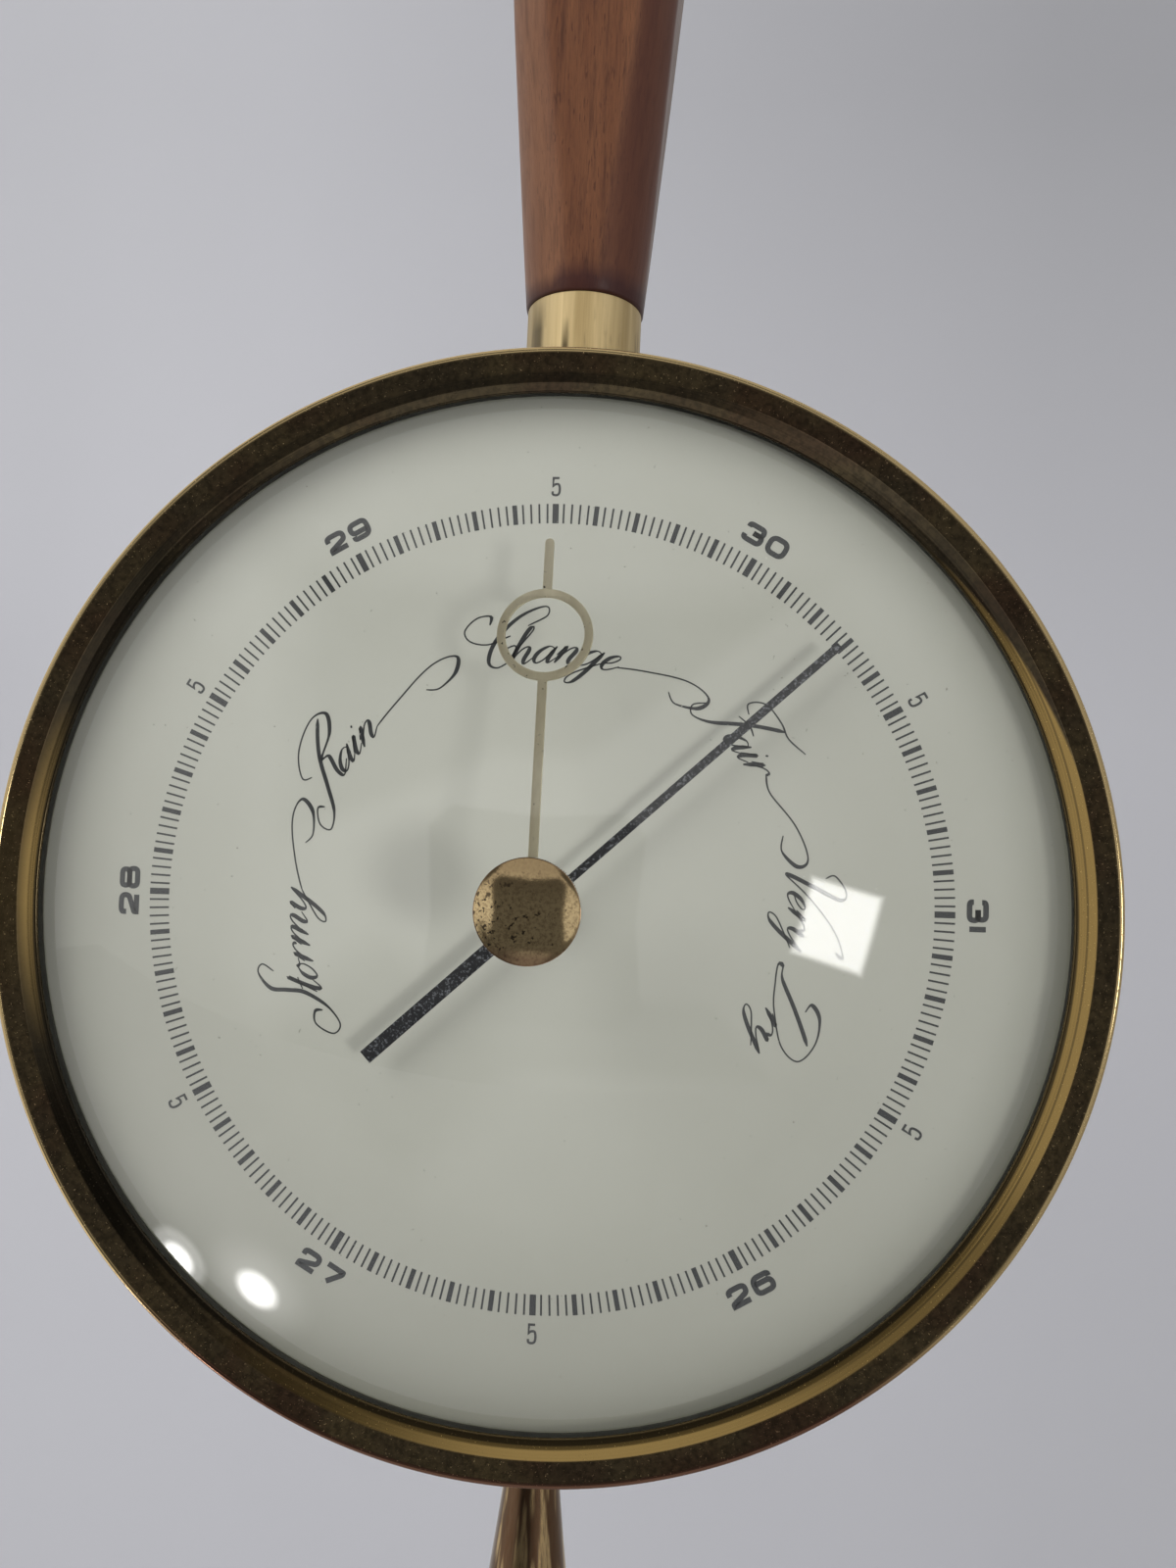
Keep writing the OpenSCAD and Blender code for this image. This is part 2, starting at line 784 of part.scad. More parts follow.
// The drop swells from its neck by this power of the way down, and ends in a half ball.
function finial_at(t) = finial_neck_r + (finial_r - finial_neck_r) * pow(t, 1.3) - 0.35 * pow(t, 12);

module finial() {
    n = 14;
    end_r = finial_at(1);
    color("#a5813f")
    on_wall()
    difference() {
        down_shaft() rotate_extrude() polygon(concat(
            [[0, case_r - 0.5], [finial_neck_r, case_r - 0.5]],
            [for (i = [0:n]) [finial_at(i / n), case_r + finial_body_l * i / n]],
            [for (i = [1:9])
                [end_r * cos(10 * i), case_r + finial_body_l + finial_r * sin(10 * i)]]
        ));
        rod(case_r + press_gap, 0, dial_height);
        down_shaft() rod(finial_screw_r + press_gap, case_r - 1, finial_seat + finial_screw_l + 1);
    }
}

module finial_screw() {
    color("#a5a6a8")
    on_wall()
    down_shaft()
    translate([0, 0, finial_seat - plain_washer_t])
    rotate([180, 0, 0])
    screw(finial_screw_head_r, finial_screw_head_h, finial_screw_r, finial_screw_l, 0.8);
}

module finial_washer() {
    color("#b9babd")
    on_wall()
    down_shaft()
    tube(finial_washer_r, finial_screw_r + hole_gap, finial_seat - plain_washer_t, finial_seat);
}

// A plate of the movement, drilled for its pillars.
module frame_plate(z) {
    difference() {
        rod(plate_r, z, z + frame_t);
        at_polar(pillar_at, pillar_angles) rod(screw_r + press_gap, z - cut, z + frame_t + cut);
    }
}

module bridge_ends() {
    for (side = [0, 180]) rotate([0, 0, mesh_angle + side]) translate([post_at, 0, 0]) children();
}

module base_plate() {
    color("#b79a5c")
    on_wall()
    difference() {
        frame_plate(base_z);
        bridge_ends() rod(screw_r + press_gap, base_z - cut, base_top + cut);
        rod(stud_r + press_gap, base_z - cut, base_top + cut);
        translate([0, -cal_y, 0]) rod(cal_r + run_gap, base_z - cut, base_top + cut);
        for (side = [-1, 1]) {
            translate([side * spring_screw_x, -spring_screw_y, 0])
                rod(screw_r + press_gap, base_z - cut, base_top + cut);
            translate([side * bracket_screw_x, 0, 0])
                rod(screw_r + press_gap, base_z - cut, base_top + cut);
        }
    }
}

bush_r = 2.2;

module top_plate() {
    color("#b79a5c")
    on_wall()
    difference() {
        frame_plate(top_z);
        at_polar(foot_at, foot_angles) rod(foot_r + hole_gap / 2, top_z - cut, top_top + cut);
        rod(bush_r + press_gap, top_z - cut, top_top + cut);
        translate([sector_x, sector_y, 0]) rod(pivot_r + run_gap, top_z - cut, top_top + cut);
        translate([stud_x, 0, 0]) rod(0.7 + press_gap, top_z - cut, top_top + cut);
    }
}

module pillars() {
    color("#c2a66a")
    on_wall()
    at_polar(pillar_at, pillar_angles)
    difference() {
        rod(pillar_r, base_top, top_z);
        rod(screw_r + press_gap, base_top - cut, base_top + screw_bite + 1);
        rod(screw_r + press_gap, top_z - screw_bite - 1, top_z + cut);
    }
}

module pillar_screws() {
    color("#8d8e92")
    on_wall()
    at_polar(pillar_at, pillar_angles)
    translate([0, 0, top_top]) frame_screw(frame_t);
}

// Screws from behind the base plate, into the pillars and the bridge's posts.
module base_screws() {
    color("#8d8e92")
    on_wall() {
        at_polar(pillar_at, pillar_angles)
            translate([0, 0, base_z]) mirror([0, 0, 1]) frame_screw(frame_t);
        bridge_ends()
            translate([0, 0, base_z]) mirror([0, 0, 1]) frame_screw(frame_t);
    }
}

module bridge_posts() {
    color("#c2a66a")
    on_wall()
    bridge_ends()
    difference() {
        rod(2.1, base_top, bridge_z);
        rod(screw_r + press_gap, base_top - cut, base_top + screw_bite + 1);
        rod(screw_r + press_gap, bridge_z - screw_bite - 1, bridge_z + cut);
    }
}

// The bar under the gears, with their lower bearings and a window for the rocker's arm.
module gear_bridge() {
    window_x = 2.5;
    window_y = 5;
    color("#b79a5c")
    on_wall()
    difference() {
        rotate([0, 0, mesh_angle])
            translate([0, 0, bridge_z])
            linear_extrude(height = bridge_t) {
                square([2 * post_at, bridge_w], center = true);
                translate([post_at, 0]) circle(d = bridge_w);
                translate([-post_at, 0]) circle(d = bridge_w);
            }
        bridge_ends() rod(screw_r + press_gap, bridge_z - cut, bridge_z + bridge_t + cut);
        rod(pivot_r + run_gap, bridge_z - cut, bridge_z + bridge_t + cut);
        translate([sector_x, sector_y, 0])
            rod(pivot_r + run_gap, bridge_z - cut, bridge_z + bridge_t + cut);
        translate([fork_x - window_x / 2, sector_y - window_y / 2, bridge_z - cut])
            cube([window_x, window_y, bridge_t + 2 * cut]);
    }
}

module bridge_screws() {
    color("#8d8e92")
    on_wall()
    bridge_ends()
    translate([0, 0, bridge_z + bridge_t]) frame_screw(bridge_t);
}

// Half of the capsule: a sheet with ring waves between its middle and its soldered rim.
capsule_sheet = 0.35;
capsule_flat_r = 5;
capsule_rim = 1.4;
stud_r = 1.5;

module diaphragm(hole_r) {
    r_out = capsule_d / 2;
    waves = 4;
    wave_h = 0.55;
    half_h = capsule_h / 2;
    r_wave = r_out - capsule_rim - capsule_flat_r - 1;
    top = [for (i = [0:8 * waves])
        [capsule_flat_r + r_wave * i / (8 * waves), half_h - wave_h * (1 - cos(45 * i)) / 2]];
    bottom = [for (i = [8 * waves:-1:0])
        [capsule_flat_r + r_wave * i / (8 * waves),
         half_h - capsule_sheet - wave_h * (1 - cos(45 * i)) / 2]];
    rotate_extrude()
    polygon(concat(
        [[hole_r, half_h]],
        top,
        [[r_out - capsule_rim, capsule_sheet], [r_out, capsule_sheet], [r_out, 0],
         [r_out - capsule_rim - capsule_sheet, 0]],
        bottom,
        [[hole_r, half_h - capsule_sheet]]
    ));
}

module capsule_bottom() {
    color("#b9b7a8")
    on_wall()
    translate([0, 0, capsule_z + capsule_h / 2]) mirror([0, 0, 1]) diaphragm(stud_r + press_gap);
}

module capsule_top() {
    color("#b9b7a8")
    on_wall()
    translate([0, 0, capsule_z + capsule_h / 2]) diaphragm(post_r + press_gap);
}

// Holds the capsule's lower half: a flange inside it, a boss below and a thread in the base.
module capsule_stud() {
    color("#c2a66a")
    on_wall() {
        rod(4, capsule_z + capsule_sheet, capsule_z + capsule_sheet + 0.8);
        rod(stud_r, base_z - small_nut_h - 0.4, capsule_z + capsule_sheet + cut);
        rod(3.4, base_top, capsule_z);
    }
}

module stud_nut() {
    color("#c2a66a")
    on_wall()
    translate([0, 0, base_z - small_nut_h]) hex_nut(small_nut, small_nut_h, stud_r + press_gap);
}

collar_r = 3;
lift_pin_r = 0.5;
lift_gap = 0.1;
post_pin_r = 0.5;
post_pin_z = spring_z + spring_leaf + post_pin_r;

// The post that the capsule lifts, with two collars that the rocker's pins run between.
module capsule_post() {
    collar_t = 0.6;
    mid = rocker_z - post_drop;
    color("#c2a66a")
    on_wall()
    difference() {
        union() {
            rod(3.6, capsule_top_z, capsule_top_z + 0.7);
            rod(post_r, capsule_top_z - capsule_sheet - 0.3, post_pin_z + 1);
            rod(collar_r, mid - lift_pin_r - lift_gap - collar_t, mid - lift_pin_r - lift_gap);
            rod(collar_r, mid + lift_pin_r + lift_gap, mid + lift_pin_r + lift_gap + collar_t);
        }
        translate([0, 0, post_pin_z]) rotate([0, 90, 0])
            rod(post_pin_r + press_gap, -post_r - 1, post_r + 1);
    }
}

module post_pin() {
    color("#6f7176")
    on_wall()
    translate([0, 0, post_pin_z]) rotate([0, 90, 0]) rod(post_pin_r, -3.2, 3.2);
}

// A leaf that rises beside the capsule and reaches over it to the post.
module main_spring() {
    bend = 4;
    y_out = spring_rise_y;
    z_top = spring_z + spring_leaf;
    out_r = bend + spring_leaf;
    outline = concat(
        [[-spring_foot_y, base_top], [-y_out + spring_leaf, base_top]],
        arc([-y_out + spring_leaf + bend, spring_z - bend], bend, 180, 90, 6),
        [[2.8, spring_z], [2.8, z_top]],
        arc([-y_out + out_r, z_top - out_r], out_r, 90, 180, 6),
        [[-y_out, base_top + spring_leaf], [-spring_foot_y, base_top + spring_leaf]]
    );
    color("#8b94a3")
    on_wall()
    difference() {
        translate([-spring_w / 2, 0, 0]) rotate([90, 0, 90])
            linear_extrude(height = spring_w) polygon(outline);
        rod(post_r + 0.35, spring_z - cut, z_top + cut);
        for (side = [-1, 1])
            translate([side * spring_screw_x, -spring_screw_y, 0])
            rod(screw_r + press_gap, base_top - cut, base_top + spring_leaf + cut);
    }
}

module spring_screws() {
    color("#8d8e92")
    on_wall()
    for (side = [-1, 1])
        translate([side * spring_screw_x, -spring_screw_y, base_top + spring_leaf])
        screw(1.8, 1.1, screw_r, spring_leaf + frame_t + 0.4);
}

// The rocker: a shaft across the movement, a yoke on the post and an arm with a fork.
module rocker() {
    shaft_r = 0.9;
    shaft_end = bracket_x - bracket_t / 2 - 0.3;
    bar_in = 3.5;
    bar_t = 1;
    fork_gap = sector_pin_r + 0.12;
    prong = 0.9;
    prong_z = rocker_reach - 1;
    color("#a98d52")
    on_wall()
    translate([0, sector_y, rocker_z])
    rotate([rocker_rest, 0, 0]) {
        rotate([0, 90, 0]) {
            rod(shaft_r, -shaft_end, shaft_end);
            rod(pivot_r, -bracket_x - bracket_t / 2, bracket_x + bracket_t / 2);
        }
        for (side = [-1, 1]) {
            translate([side * (bar_in + bar_t / 2) - bar_t / 2, -rocker_arm - 0.7, -0.5])
                cube([bar_t, rocker_arm + 0.7, 1]);
            translate([side * (bar_in + bar_t / 2), -rocker_arm, 0])
                rotate([0, -90 * side, 0]) rod(lift_pin_r, 0, bar_in + bar_t / 2 - post_r - 0.4);
        }
        translate([fork_x - 0.8, -0.9, 0]) cube([1.6, 1.8, prong_z - 0.8]);
        difference() {
            translate([fork_x - 0.8, -fork_gap - prong, prong_z - 1.4])
                cube([1.6, 2 * (fork_gap + prong), 3]);
            translate([fork_x - 1, -fork_gap, prong_z - 0.4]) cube([2, 2 * fork_gap, 3]);
        }
    }
}

module rocker_brackets() {
    lug_top = rocker_z + 2.2;
    lug_wide = bracket_foot_w / 2 + sector_y + 2.4;
    color("#b79a5c")
    on_wall()
    for (side = [-1, 1])
        difference() {
            union() {
                translate([side * bracket_x - bracket_t / 2, -bracket_foot_w / 2, base_top])
                    cube([bracket_t, lug_wide, lug_top - base_top]);
                translate([side > 0 ? bracket_x : -bracket_x - bracket_foot_l,
                           -bracket_foot_w / 2, base_top])
                    cube([bracket_foot_l, bracket_foot_w - 0.6, bracket_foot_t]);
            }
            translate([side * bracket_screw_x, 0, 0])
                rod(screw_r + press_gap, base_top - cut, base_top + bracket_foot_t + cut);
            translate([side * bracket_x, sector_y, rocker_z]) rotate([0, 90, 0])
                rod(pivot_r + run_gap, -bracket_t, bracket_t);
        }
}

module bracket_screws() {
    color("#8d8e92")
    on_wall()
    for (side = [-1, 1])
        translate([side * bracket_screw_x, 0, base_top + bracket_foot_t])
        screw(1.7, 1, screw_r, bracket_foot_t + frame_t + 0.4);
}

// Slim gear teeth, so that the pair turns freely through its whole travel.
tooth_root = 0.3;
tooth_pitch = 0.24;
tooth_tip = 0.13;
tooth_up = 0.95 * gear_module;
tooth_down = 1.25 * gear_module;

module tooth(r) {
    polygon([
        [r - tooth_down - 0.1, -tooth_root], [r, -tooth_pitch], [r + tooth_up, -tooth_tip],
        [r + tooth_up, tooth_tip], [r, tooth_pitch], [r - tooth_down - 0.1, tooth_root]
    ]);
}

sector_step = 360 / sector_teeth;
// Teeth on each side of the one in mesh at rest, counted as the sector turns past the pinion.
teeth_high = ceil(sector_high / sector_step) + 2;
teeth_low = ceil(-sector_low / sector_step) + 2;

function ray(r, a) = [r * cos(a), r * sin(a)];

module sector_gear() {
    root_r = sector_r - tooth_down;
    a0 = -teeth_low * sector_step - 1;
    a1 = teeth_high * sector_step + 1;
    n = 10;
    rim_in = root_r - 2.2;
    color("#c2a66a")
    on_wall()
    translate([sector_x, sector_y, sector_z])
    rotate([0, 0, 180 + mesh_angle])
    linear_extrude(height = sector_t)
    difference() {
        union() {
            circle(r = 3.2);
            polygon(concat([ray(1, a1 + 60), ray(1, a0 - 60)],
                [for (i = [0:n]) ray(root_r, a0 + (a1 - a0) * i / n)]));
            for (i = [-teeth_low:teeth_high]) rotate([0, 0, i * sector_step]) tooth(sector_r);
        }
        circle(r = arbor_r + press_gap);
        rotate([0, 0, 180 + sector_mid - (180 + mesh_angle)]) translate([sector_tail, 0])
            circle(r = sector_pin_r + press_gap);
        polygon(concat(
            [for (i = [0:n]) ray(rim_in, a0 + 4 + (a1 - a0 - 8) * i / n)],
            [ray(7, a1 - 9), ray(7, a0 + 9)]
        ));
    }
}

module sector_arbor() {
    color("#9b9ea3")
    on_wall()
    translate([sector_x, sector_y, 0]) {
        rod(pivot_r, bridge_z + 0.1, bridge_z + bridge_t + 0.3);
        rod(arbor_r, bridge_z + bridge_t + 0.2, top_z - 0.2);
        rod(pivot_r, top_z - 0.3, top_top - 0.1);
        tube(arbor_r + 0.8, arbor_r - cut, sector_z + sector_t, sector_z + sector_t + 1.2);
    }
}

module sector_pin() {
    color("#6f7176")
    on_wall()
    translate([sector_x, sector_y, 0])
    rotate([0, 0, 180 + sector_mid])
    translate([sector_tail, 0, 0]) rod(sector_pin_r, sector_z - 1.9, sector_z + sector_t);
}

module hand_arbor() {
    color("#9b9ea3")
    on_wall() {
        rod(pivot_r, bridge_z + 0.1, bridge_z + bridge_t + 0.3);
        rod(arbor_r, bridge_z + bridge_t + 0.2, top_top + 2);
        rod(arbor_neck_r, top_top + 2 - cut, hand_z - hub_below - 0.1);
        rod(arbor_tip_r, hand_z - hub_below - 0.1 - cut, arbor_top);
        translate([0, 0, pinion_z]) linear_extrude(height = pinion_l) {
            circle(r = pinion_r - tooth_down);
            for (i = [0:pinion_teeth - 1])
                rotate([0, 0, mesh_angle + (i + 0.5) * 360 / pinion_teeth]) tooth(pinion_r);
        }
    }
}

module arbor_bush() {
    color("#c2a66a")
    on_wall() {
        tube(bush_r, arbor_r + run_gap, top_z, top_top);
        tube(bush_r + 0.8, arbor_r + run_gap, top_top, top_top + 0.6);
    }
}

coil_in = 2.2;
coil_out = 8;
coil_turns = 4.5;
coil_w = 0.22;
collet_r = 1.9;
stud_x = coil_out + 0.4;

// A flat spiral from the collet out to its stud.
module hairspring() {
    n = 108;
    function at(i, side) = ray(
        coil_in + (coil_out - coil_in) * i / n + side * coil_w / 2, 360 * coil_turns * (i / n - 1));
    color("#5a6a8a")
    on_wall()
    translate([0, 0, hairspring_z])
    linear_extrude(height = hairspring_h) {
        polygon(concat([for (i = [0:n]) at(i, 1)], [for (i = [n:-1:0]) at(i, -1)]));
        rotate([0, 0, -360 * coil_turns])
            translate([collet_r - 0.05, -coil_w]) square([coil_in - collet_r + 0.1, 2 * coil_w]);
    }
}

module hairspring_collet() {
    color("#c2a66a")
    on_wall()
    difference() {
        tube(collet_r, arbor_r + press_gap, collet_z, collet_z + collet_h);
        rotate([0, 0, -360 * coil_turns])
            translate([collet_r - 0.07, -coil_w - press_gap, hairspring_z - press_gap])
            cube([1, 2 * (coil_w + press_gap), hairspring_h + 2 * press_gap]);
    }
}

module hairspring_stud() {
    color("#c2a66a")
    on_wall()
    difference() {
        translate([stud_x, 0, 0]) union() {
            rod(0.9, collet_z - 0.1, top_z);
            rod(0.7, top_z - cut, top_top);
        }
        translate([0, -2, hairspring_z - 0.05])
            cube([coil_out + coil_w / 2 + 0.02, 4, hairspring_h + 0.1]);
    }
}

// Slotted screw in the base plate that bears on the spring's foot.
module calibration_screw() {
    head_h = base_z - case_wall - 0.8;
    color("#8d8e92")
    on_wall()
    translate([0, -cal_y, 0])
    difference() {
        union() {
            rod(cal_head_r, base_z - head_h, base_z - 0.2);
            rod(cal_r, base_z - 0.2 - cut, base_top - 0.05);
        }
        translate([-cal_head_r - cut, -0.5, base_z - head_h - cut])
            cube([2 * (cal_head_r + cut), 1, 0.9 + cut]);
    }
}

case();
bezel();
glass_dome();
glass_gasket();
dial_plate();
dial_feet();
dial_nuts();
pressure_hand();
hand_hub();
set_hand();
set_knob();
knob_washer();
spindle_spring();
spindle_nut();
ferrule();
wood_shaft();
shaft_screw();
shaft_washer();
top_cap();
cap_pin();
finial();
finial_screw();
finial_washer();
hanger_plate();
hanger_screws();
base_plate();
top_plate();
pillars();
pillar_screws();
base_screws();
gear_bridge();
bridge_posts();
bridge_screws();
capsule_bottom();
capsule_top();
capsule_stud();
stud_nut();
capsule_post();
post_pin();
main_spring();
spring_screws();
rocker();
rocker_brackets();
bracket_screws();
sector_gear();
sector_arbor();
sector_pin();
hand_arbor();
arbor_bush();
hairspring();
hairspring_collet();
hairspring_stud();
calibration_screw();
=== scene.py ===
import json
import math
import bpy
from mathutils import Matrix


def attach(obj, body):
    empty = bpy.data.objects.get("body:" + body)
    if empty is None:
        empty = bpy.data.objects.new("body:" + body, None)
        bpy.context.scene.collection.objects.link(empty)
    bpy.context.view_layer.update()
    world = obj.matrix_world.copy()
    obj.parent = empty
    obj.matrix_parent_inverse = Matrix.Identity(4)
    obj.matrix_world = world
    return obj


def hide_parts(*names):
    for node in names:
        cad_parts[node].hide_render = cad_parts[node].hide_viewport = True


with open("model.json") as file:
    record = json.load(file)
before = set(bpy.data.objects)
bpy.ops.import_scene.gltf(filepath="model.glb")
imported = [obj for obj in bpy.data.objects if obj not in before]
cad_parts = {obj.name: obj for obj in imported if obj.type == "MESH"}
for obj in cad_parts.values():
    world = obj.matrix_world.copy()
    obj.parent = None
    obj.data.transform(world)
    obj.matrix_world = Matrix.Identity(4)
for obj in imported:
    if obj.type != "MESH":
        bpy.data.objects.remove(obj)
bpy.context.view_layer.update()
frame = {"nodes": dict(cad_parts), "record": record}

from types import SimpleNamespace

import bmesh
import bpy
from mathutils import Matrix, Vector

# Lengths in the settings are millimetres. A place on the front is given as
# x to the right, y up the shaft and h above the wall, with the dial's centre at x = y = 0.
mm = 0.001
nodes = frame["nodes"]
smoothTo = 38  # edges up to this many degrees are shaded smooth


def atWall(x, y, h):
    return Vector((x * mm, -h * mm, y * mm))


def turnedBy(x, y, clockwise):
    a = math.radians(clockwise)
    return x * math.cos(a) + y * math.sin(a), y * math.cos(a) - x * math.sin(a)


def polar(r, clockwise):
    return turnedBy(0, r, clockwise)


def arcPoints(cx, cy, r, start, end, count):
    turns = [math.radians(start + (end - start) * i / count) for i in range(count + 1)]
    return [(cx + r * math.cos(a), cy + r * math.sin(a)) for a in turns]


def addObject(name, bm, outward=True):
    if outward:
        bmesh.ops.recalc_face_normals(bm, faces=bm.faces)
    mesh = bpy.data.meshes.new(name)
    bm.to_mesh(mesh)
    bm.free()
    made = bpy.data.objects.new(name, mesh)
    bpy.context.scene.collection.objects.link(made)
    return made


def shadeSmooth(mesh, upTo=smoothTo):
    mesh.shade_smooth()
    mesh.set_sharp_from_angle(angle=math.radians(upTo))


# A piece has the finish of its slot unless another one is named.
def makePiece(name, bm, body, slotName, stands=(), finish=None, upTo=smoothTo):
    piece = addObject(name, bm)
    shadeSmooth(piece.data, upTo)
    piece.data.materials.append(finishes[finish or slotName])
    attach(piece, body)
    if stands:
        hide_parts(*stands)
    return piece


# Faces between neighbouring rows of points, each row closed; a row of one point is a tip.
def skin(bm, rows, ring=False, caps=False):
    count = max(len(row) for row in rows)
    for low, high in zip(rows, rows[1:] + rows[:1] if ring else rows[1:]):
        for k in range(count):
            n = (k + 1) % count
            corners = []
            for row, at in ((low, k), (low, n), (high, n), (high, k)):
                if row[at % len(row)] not in corners:
                    corners.append(row[at % len(row)])
            if len(corners) > 2:
                bm.faces.new(corners)
    if caps:
        bm.faces.new(rows[0])
        bm.faces.new(rows[-1])


# A profile of (radius, height) turned round the line that place() puts it on.
def turn(profile, place, steps, ring=False, ripple=None, bm=None):
    bm = bmesh.new() if bm is None else bm
    rows = []
    for row, (r, h) in enumerate(profile):
        line = []
        for k in range(steps if r > 1e-6 else 1):
            a = math.tau * k / steps
            reach = r + (ripple(row, a) if ripple else 0)
            line.append(bm.verts.new(place(reach * math.cos(a), reach * math.sin(a), h)))
        rows.append(line)
    skin(bm, rows, ring)
    return bm


usual = (0.3, 0.7)  # most of a noise lies between these


# A value in a node tree. Sums with it are written as plain arithmetic.
class nodeValue:
    def __init__(self, socket):
        self.socket = socket

    def sums(self, how, other=0.0):
        return addNode(self.socket.id_data, "ShaderNodeMath", {0: self, 1: other}, operation=how)

    def __add__(self, other):
        return self.sums("ADD", other)

    def __sub__(self, other):
        return self.sums("SUBTRACT", other)

    def __mul__(self, other):
        return self.sums("MULTIPLY", other)

    def __abs__(self):
        return self.sums("ABSOLUTE")

    def most(self, other=0.0):
        return self.sums("MAXIMUM", other)

    # from start at low to end at high, and level outside
    def spread(self, low, high, start=0.0, end=1.0, curve="LINEAR"):
        return addNode(self.socket.id_data, "ShaderNodeMapRange",
                       {0: self, 1: low, 2: high, 3: start, 4: end}, interpolation_type=curve)

    def fade(self, low, high, start=1.0):
        return self.spread(low, high, start, 0.0)

    def over(self, start=0.0, end=1.0):
        return self.spread(*usual, start, end)


def feed(socket, value):
    if isinstance(value, nodeValue):
        socket.id_data.links.new(value.socket, socket)
    else:
        socket.default_value = value


def addNode(tree, kind, inputs=None, output=0, **settings):
    made = tree.nodes.new(kind)
    for name, value in settings.items():
        setattr(made, name, value)
    for name, value in (inputs or {}).items():
        feed(made.inputs[name], value)
    return nodeValue(made.outputs[output])


def far(x, y):
    return (x * x + y * y).sums("SQRT")


def coordinate(tree, kind, axis):
    coords = addNode(tree, "ShaderNodeTexCoord", output=kind)
    return addNode(tree, "ShaderNodeSeparateXYZ", {"Vector": coords}, axis)


# How far a point is to the right, up the shaft and from the dial's axis, in millimetres.
def places(tree):
    x, z = (coordinate(tree, "Object", axis) * (1 / mm) for axis in "XZ")
    return x, z, far(x, z)


def sideways(tree):
    return coordinate(tree, "Normal", "X")


# Noise whose grains are size millimetres long, or sizes along x, y and z.
def grains(tree, size, detail=3.0, rough=0.55, shift=0.0):
    sizes = size if isinstance(size, tuple) else (size,) * 3
    scaled = addNode(tree, "ShaderNodeMapping",
                     {"Vector": addNode(tree, "ShaderNodeTexCoord", output="Object"),
                      "Location": (shift, shift * 0.7, shift * 1.3),
                      "Scale": tuple(1 / (s * mm) for s in sizes)})
    return noise(tree, scaled, detail, rough)


def noise(tree, place, detail, rough):
    return addNode(tree, "ShaderNodeTexNoise",
                   {"Vector": place, "Scale": 1.0, "Detail": detail, "Roughness": rough})


# Colours laid over a first one, each by its share.
def layered(tone, *layers):
    for share, colour in layers:
        pair = [c if isinstance(c, nodeValue) else (*c, 1) for c in (tone, colour)]
        tone = addNode(share.socket.id_data, "ShaderNodeMix", {0: share, 6: pair[0], 7: pair[1]},
                       2, data_type="RGBA")
    return tone


def startFinish(name, **plain):
    finish = bpy.data.materials.new(name)
    finish.use_nodes = True
    for words, value in plain.items():
        finish.node_tree.nodes["Principled BSDF"].inputs[words].default_value = value
    return finish, finish.node_tree


def endFinish(finish, tone, rough=None, height=None, depth=0.0, strength=0.5):
    shader = finish.node_tree.nodes["Principled BSDF"]
    bump = height and addNode(finish.node_tree, "ShaderNodeBump",
                              {"Height": height, "Strength": strength, "Distance": depth * mm})
    for name, value in (("Base Color", tone), ("Roughness", rough), ("Normal", bump)):
        if value:
            feed(shader.inputs[name], value)
    return finish


def mixShaders(tree, share, first, second, last):
    mixed = addNode(tree, "ShaderNodeMixShader", {0: share, 1: first, 2: second})
    feed(tree.nodes[last].inputs["Surface"], mixed)


# Light goes straight through a finish where share is 1.
def clearWhere(tree, share, tint=(1.0, 1.0, 1.0)):
    clear = addNode(tree, "ShaderNodeBsdfTransparent", {"Color": (*tint, 1)})
    finish = nodeValue(tree.nodes["Principled BSDF"].outputs[0])
    mixShaders(tree, share, finish, clear, "Material Output")


# Brushed lines, darker patches and small dark spots; lines and patches are sizes in millimetres.
def metalFinish(name, light, dark, rough, lines, patches, spots=0.0):
    finish, tree = startFinish(name, Metallic=1.0)
    fine = grains(tree, lines, 2.0, 0.6)
    broad = grains(tree, patches, 4.0, 0.6, 3.1)
    layers = [(broad.spread(0.34, 0.68), light), (fine.over(0.0, 0.28), dark)]
    if spots:
        rare = 0.70 - 0.06 * spots
        speck = grains(tree, 0.5, 2.0, 0.5, 7.3).spread(rare, rare + 0.06)
        layers.append((speck, [c * 0.16 for c in dark]))
    worn = broad.over(rough * 1.35, rough * 0.8) + fine.over(-0.04, 0.06)
    return endFinish(finish, layered(dark, *layers), worn, fine, 0.004, 0.6)


def matFinish(name, colour, rough, patches=6, change=0.2, depth=0.01):
    finish, tree = startFinish(name)
    fine = grains(tree, 0.25, 3.0, 0.6, 2.0)
    low, high = ([c * share for c in colour] for share in (1 - change, 1 + change))
    tone = layered(low, (grains(tree, patches, 4.0, 0.6).over(), high))
    return endFinish(finish, tone, fine.over(rough * 0.85, rough * 1.15), fine, depth)


walnut = {
    "light": (0.174, 0.074, 0.036), "middle": (0.124, 0.048, 0.024), "dark": (0.055, 0.022, 0.014),
    "fresh": (0.25, 0.120, 0.062), "shade": (0.074, 0.024, 0.015), "stain": (0.034, 0.011, 0.012),
    "stainTop": 95.4, "stainSoft": 1.8, "scallop": (-2.0, 1.6), "rough": 0.40,
    "gloss": {"Specular IOR Level": 0.25, "Coat Weight": 0.03, "Coat Roughness": 0.2},
}


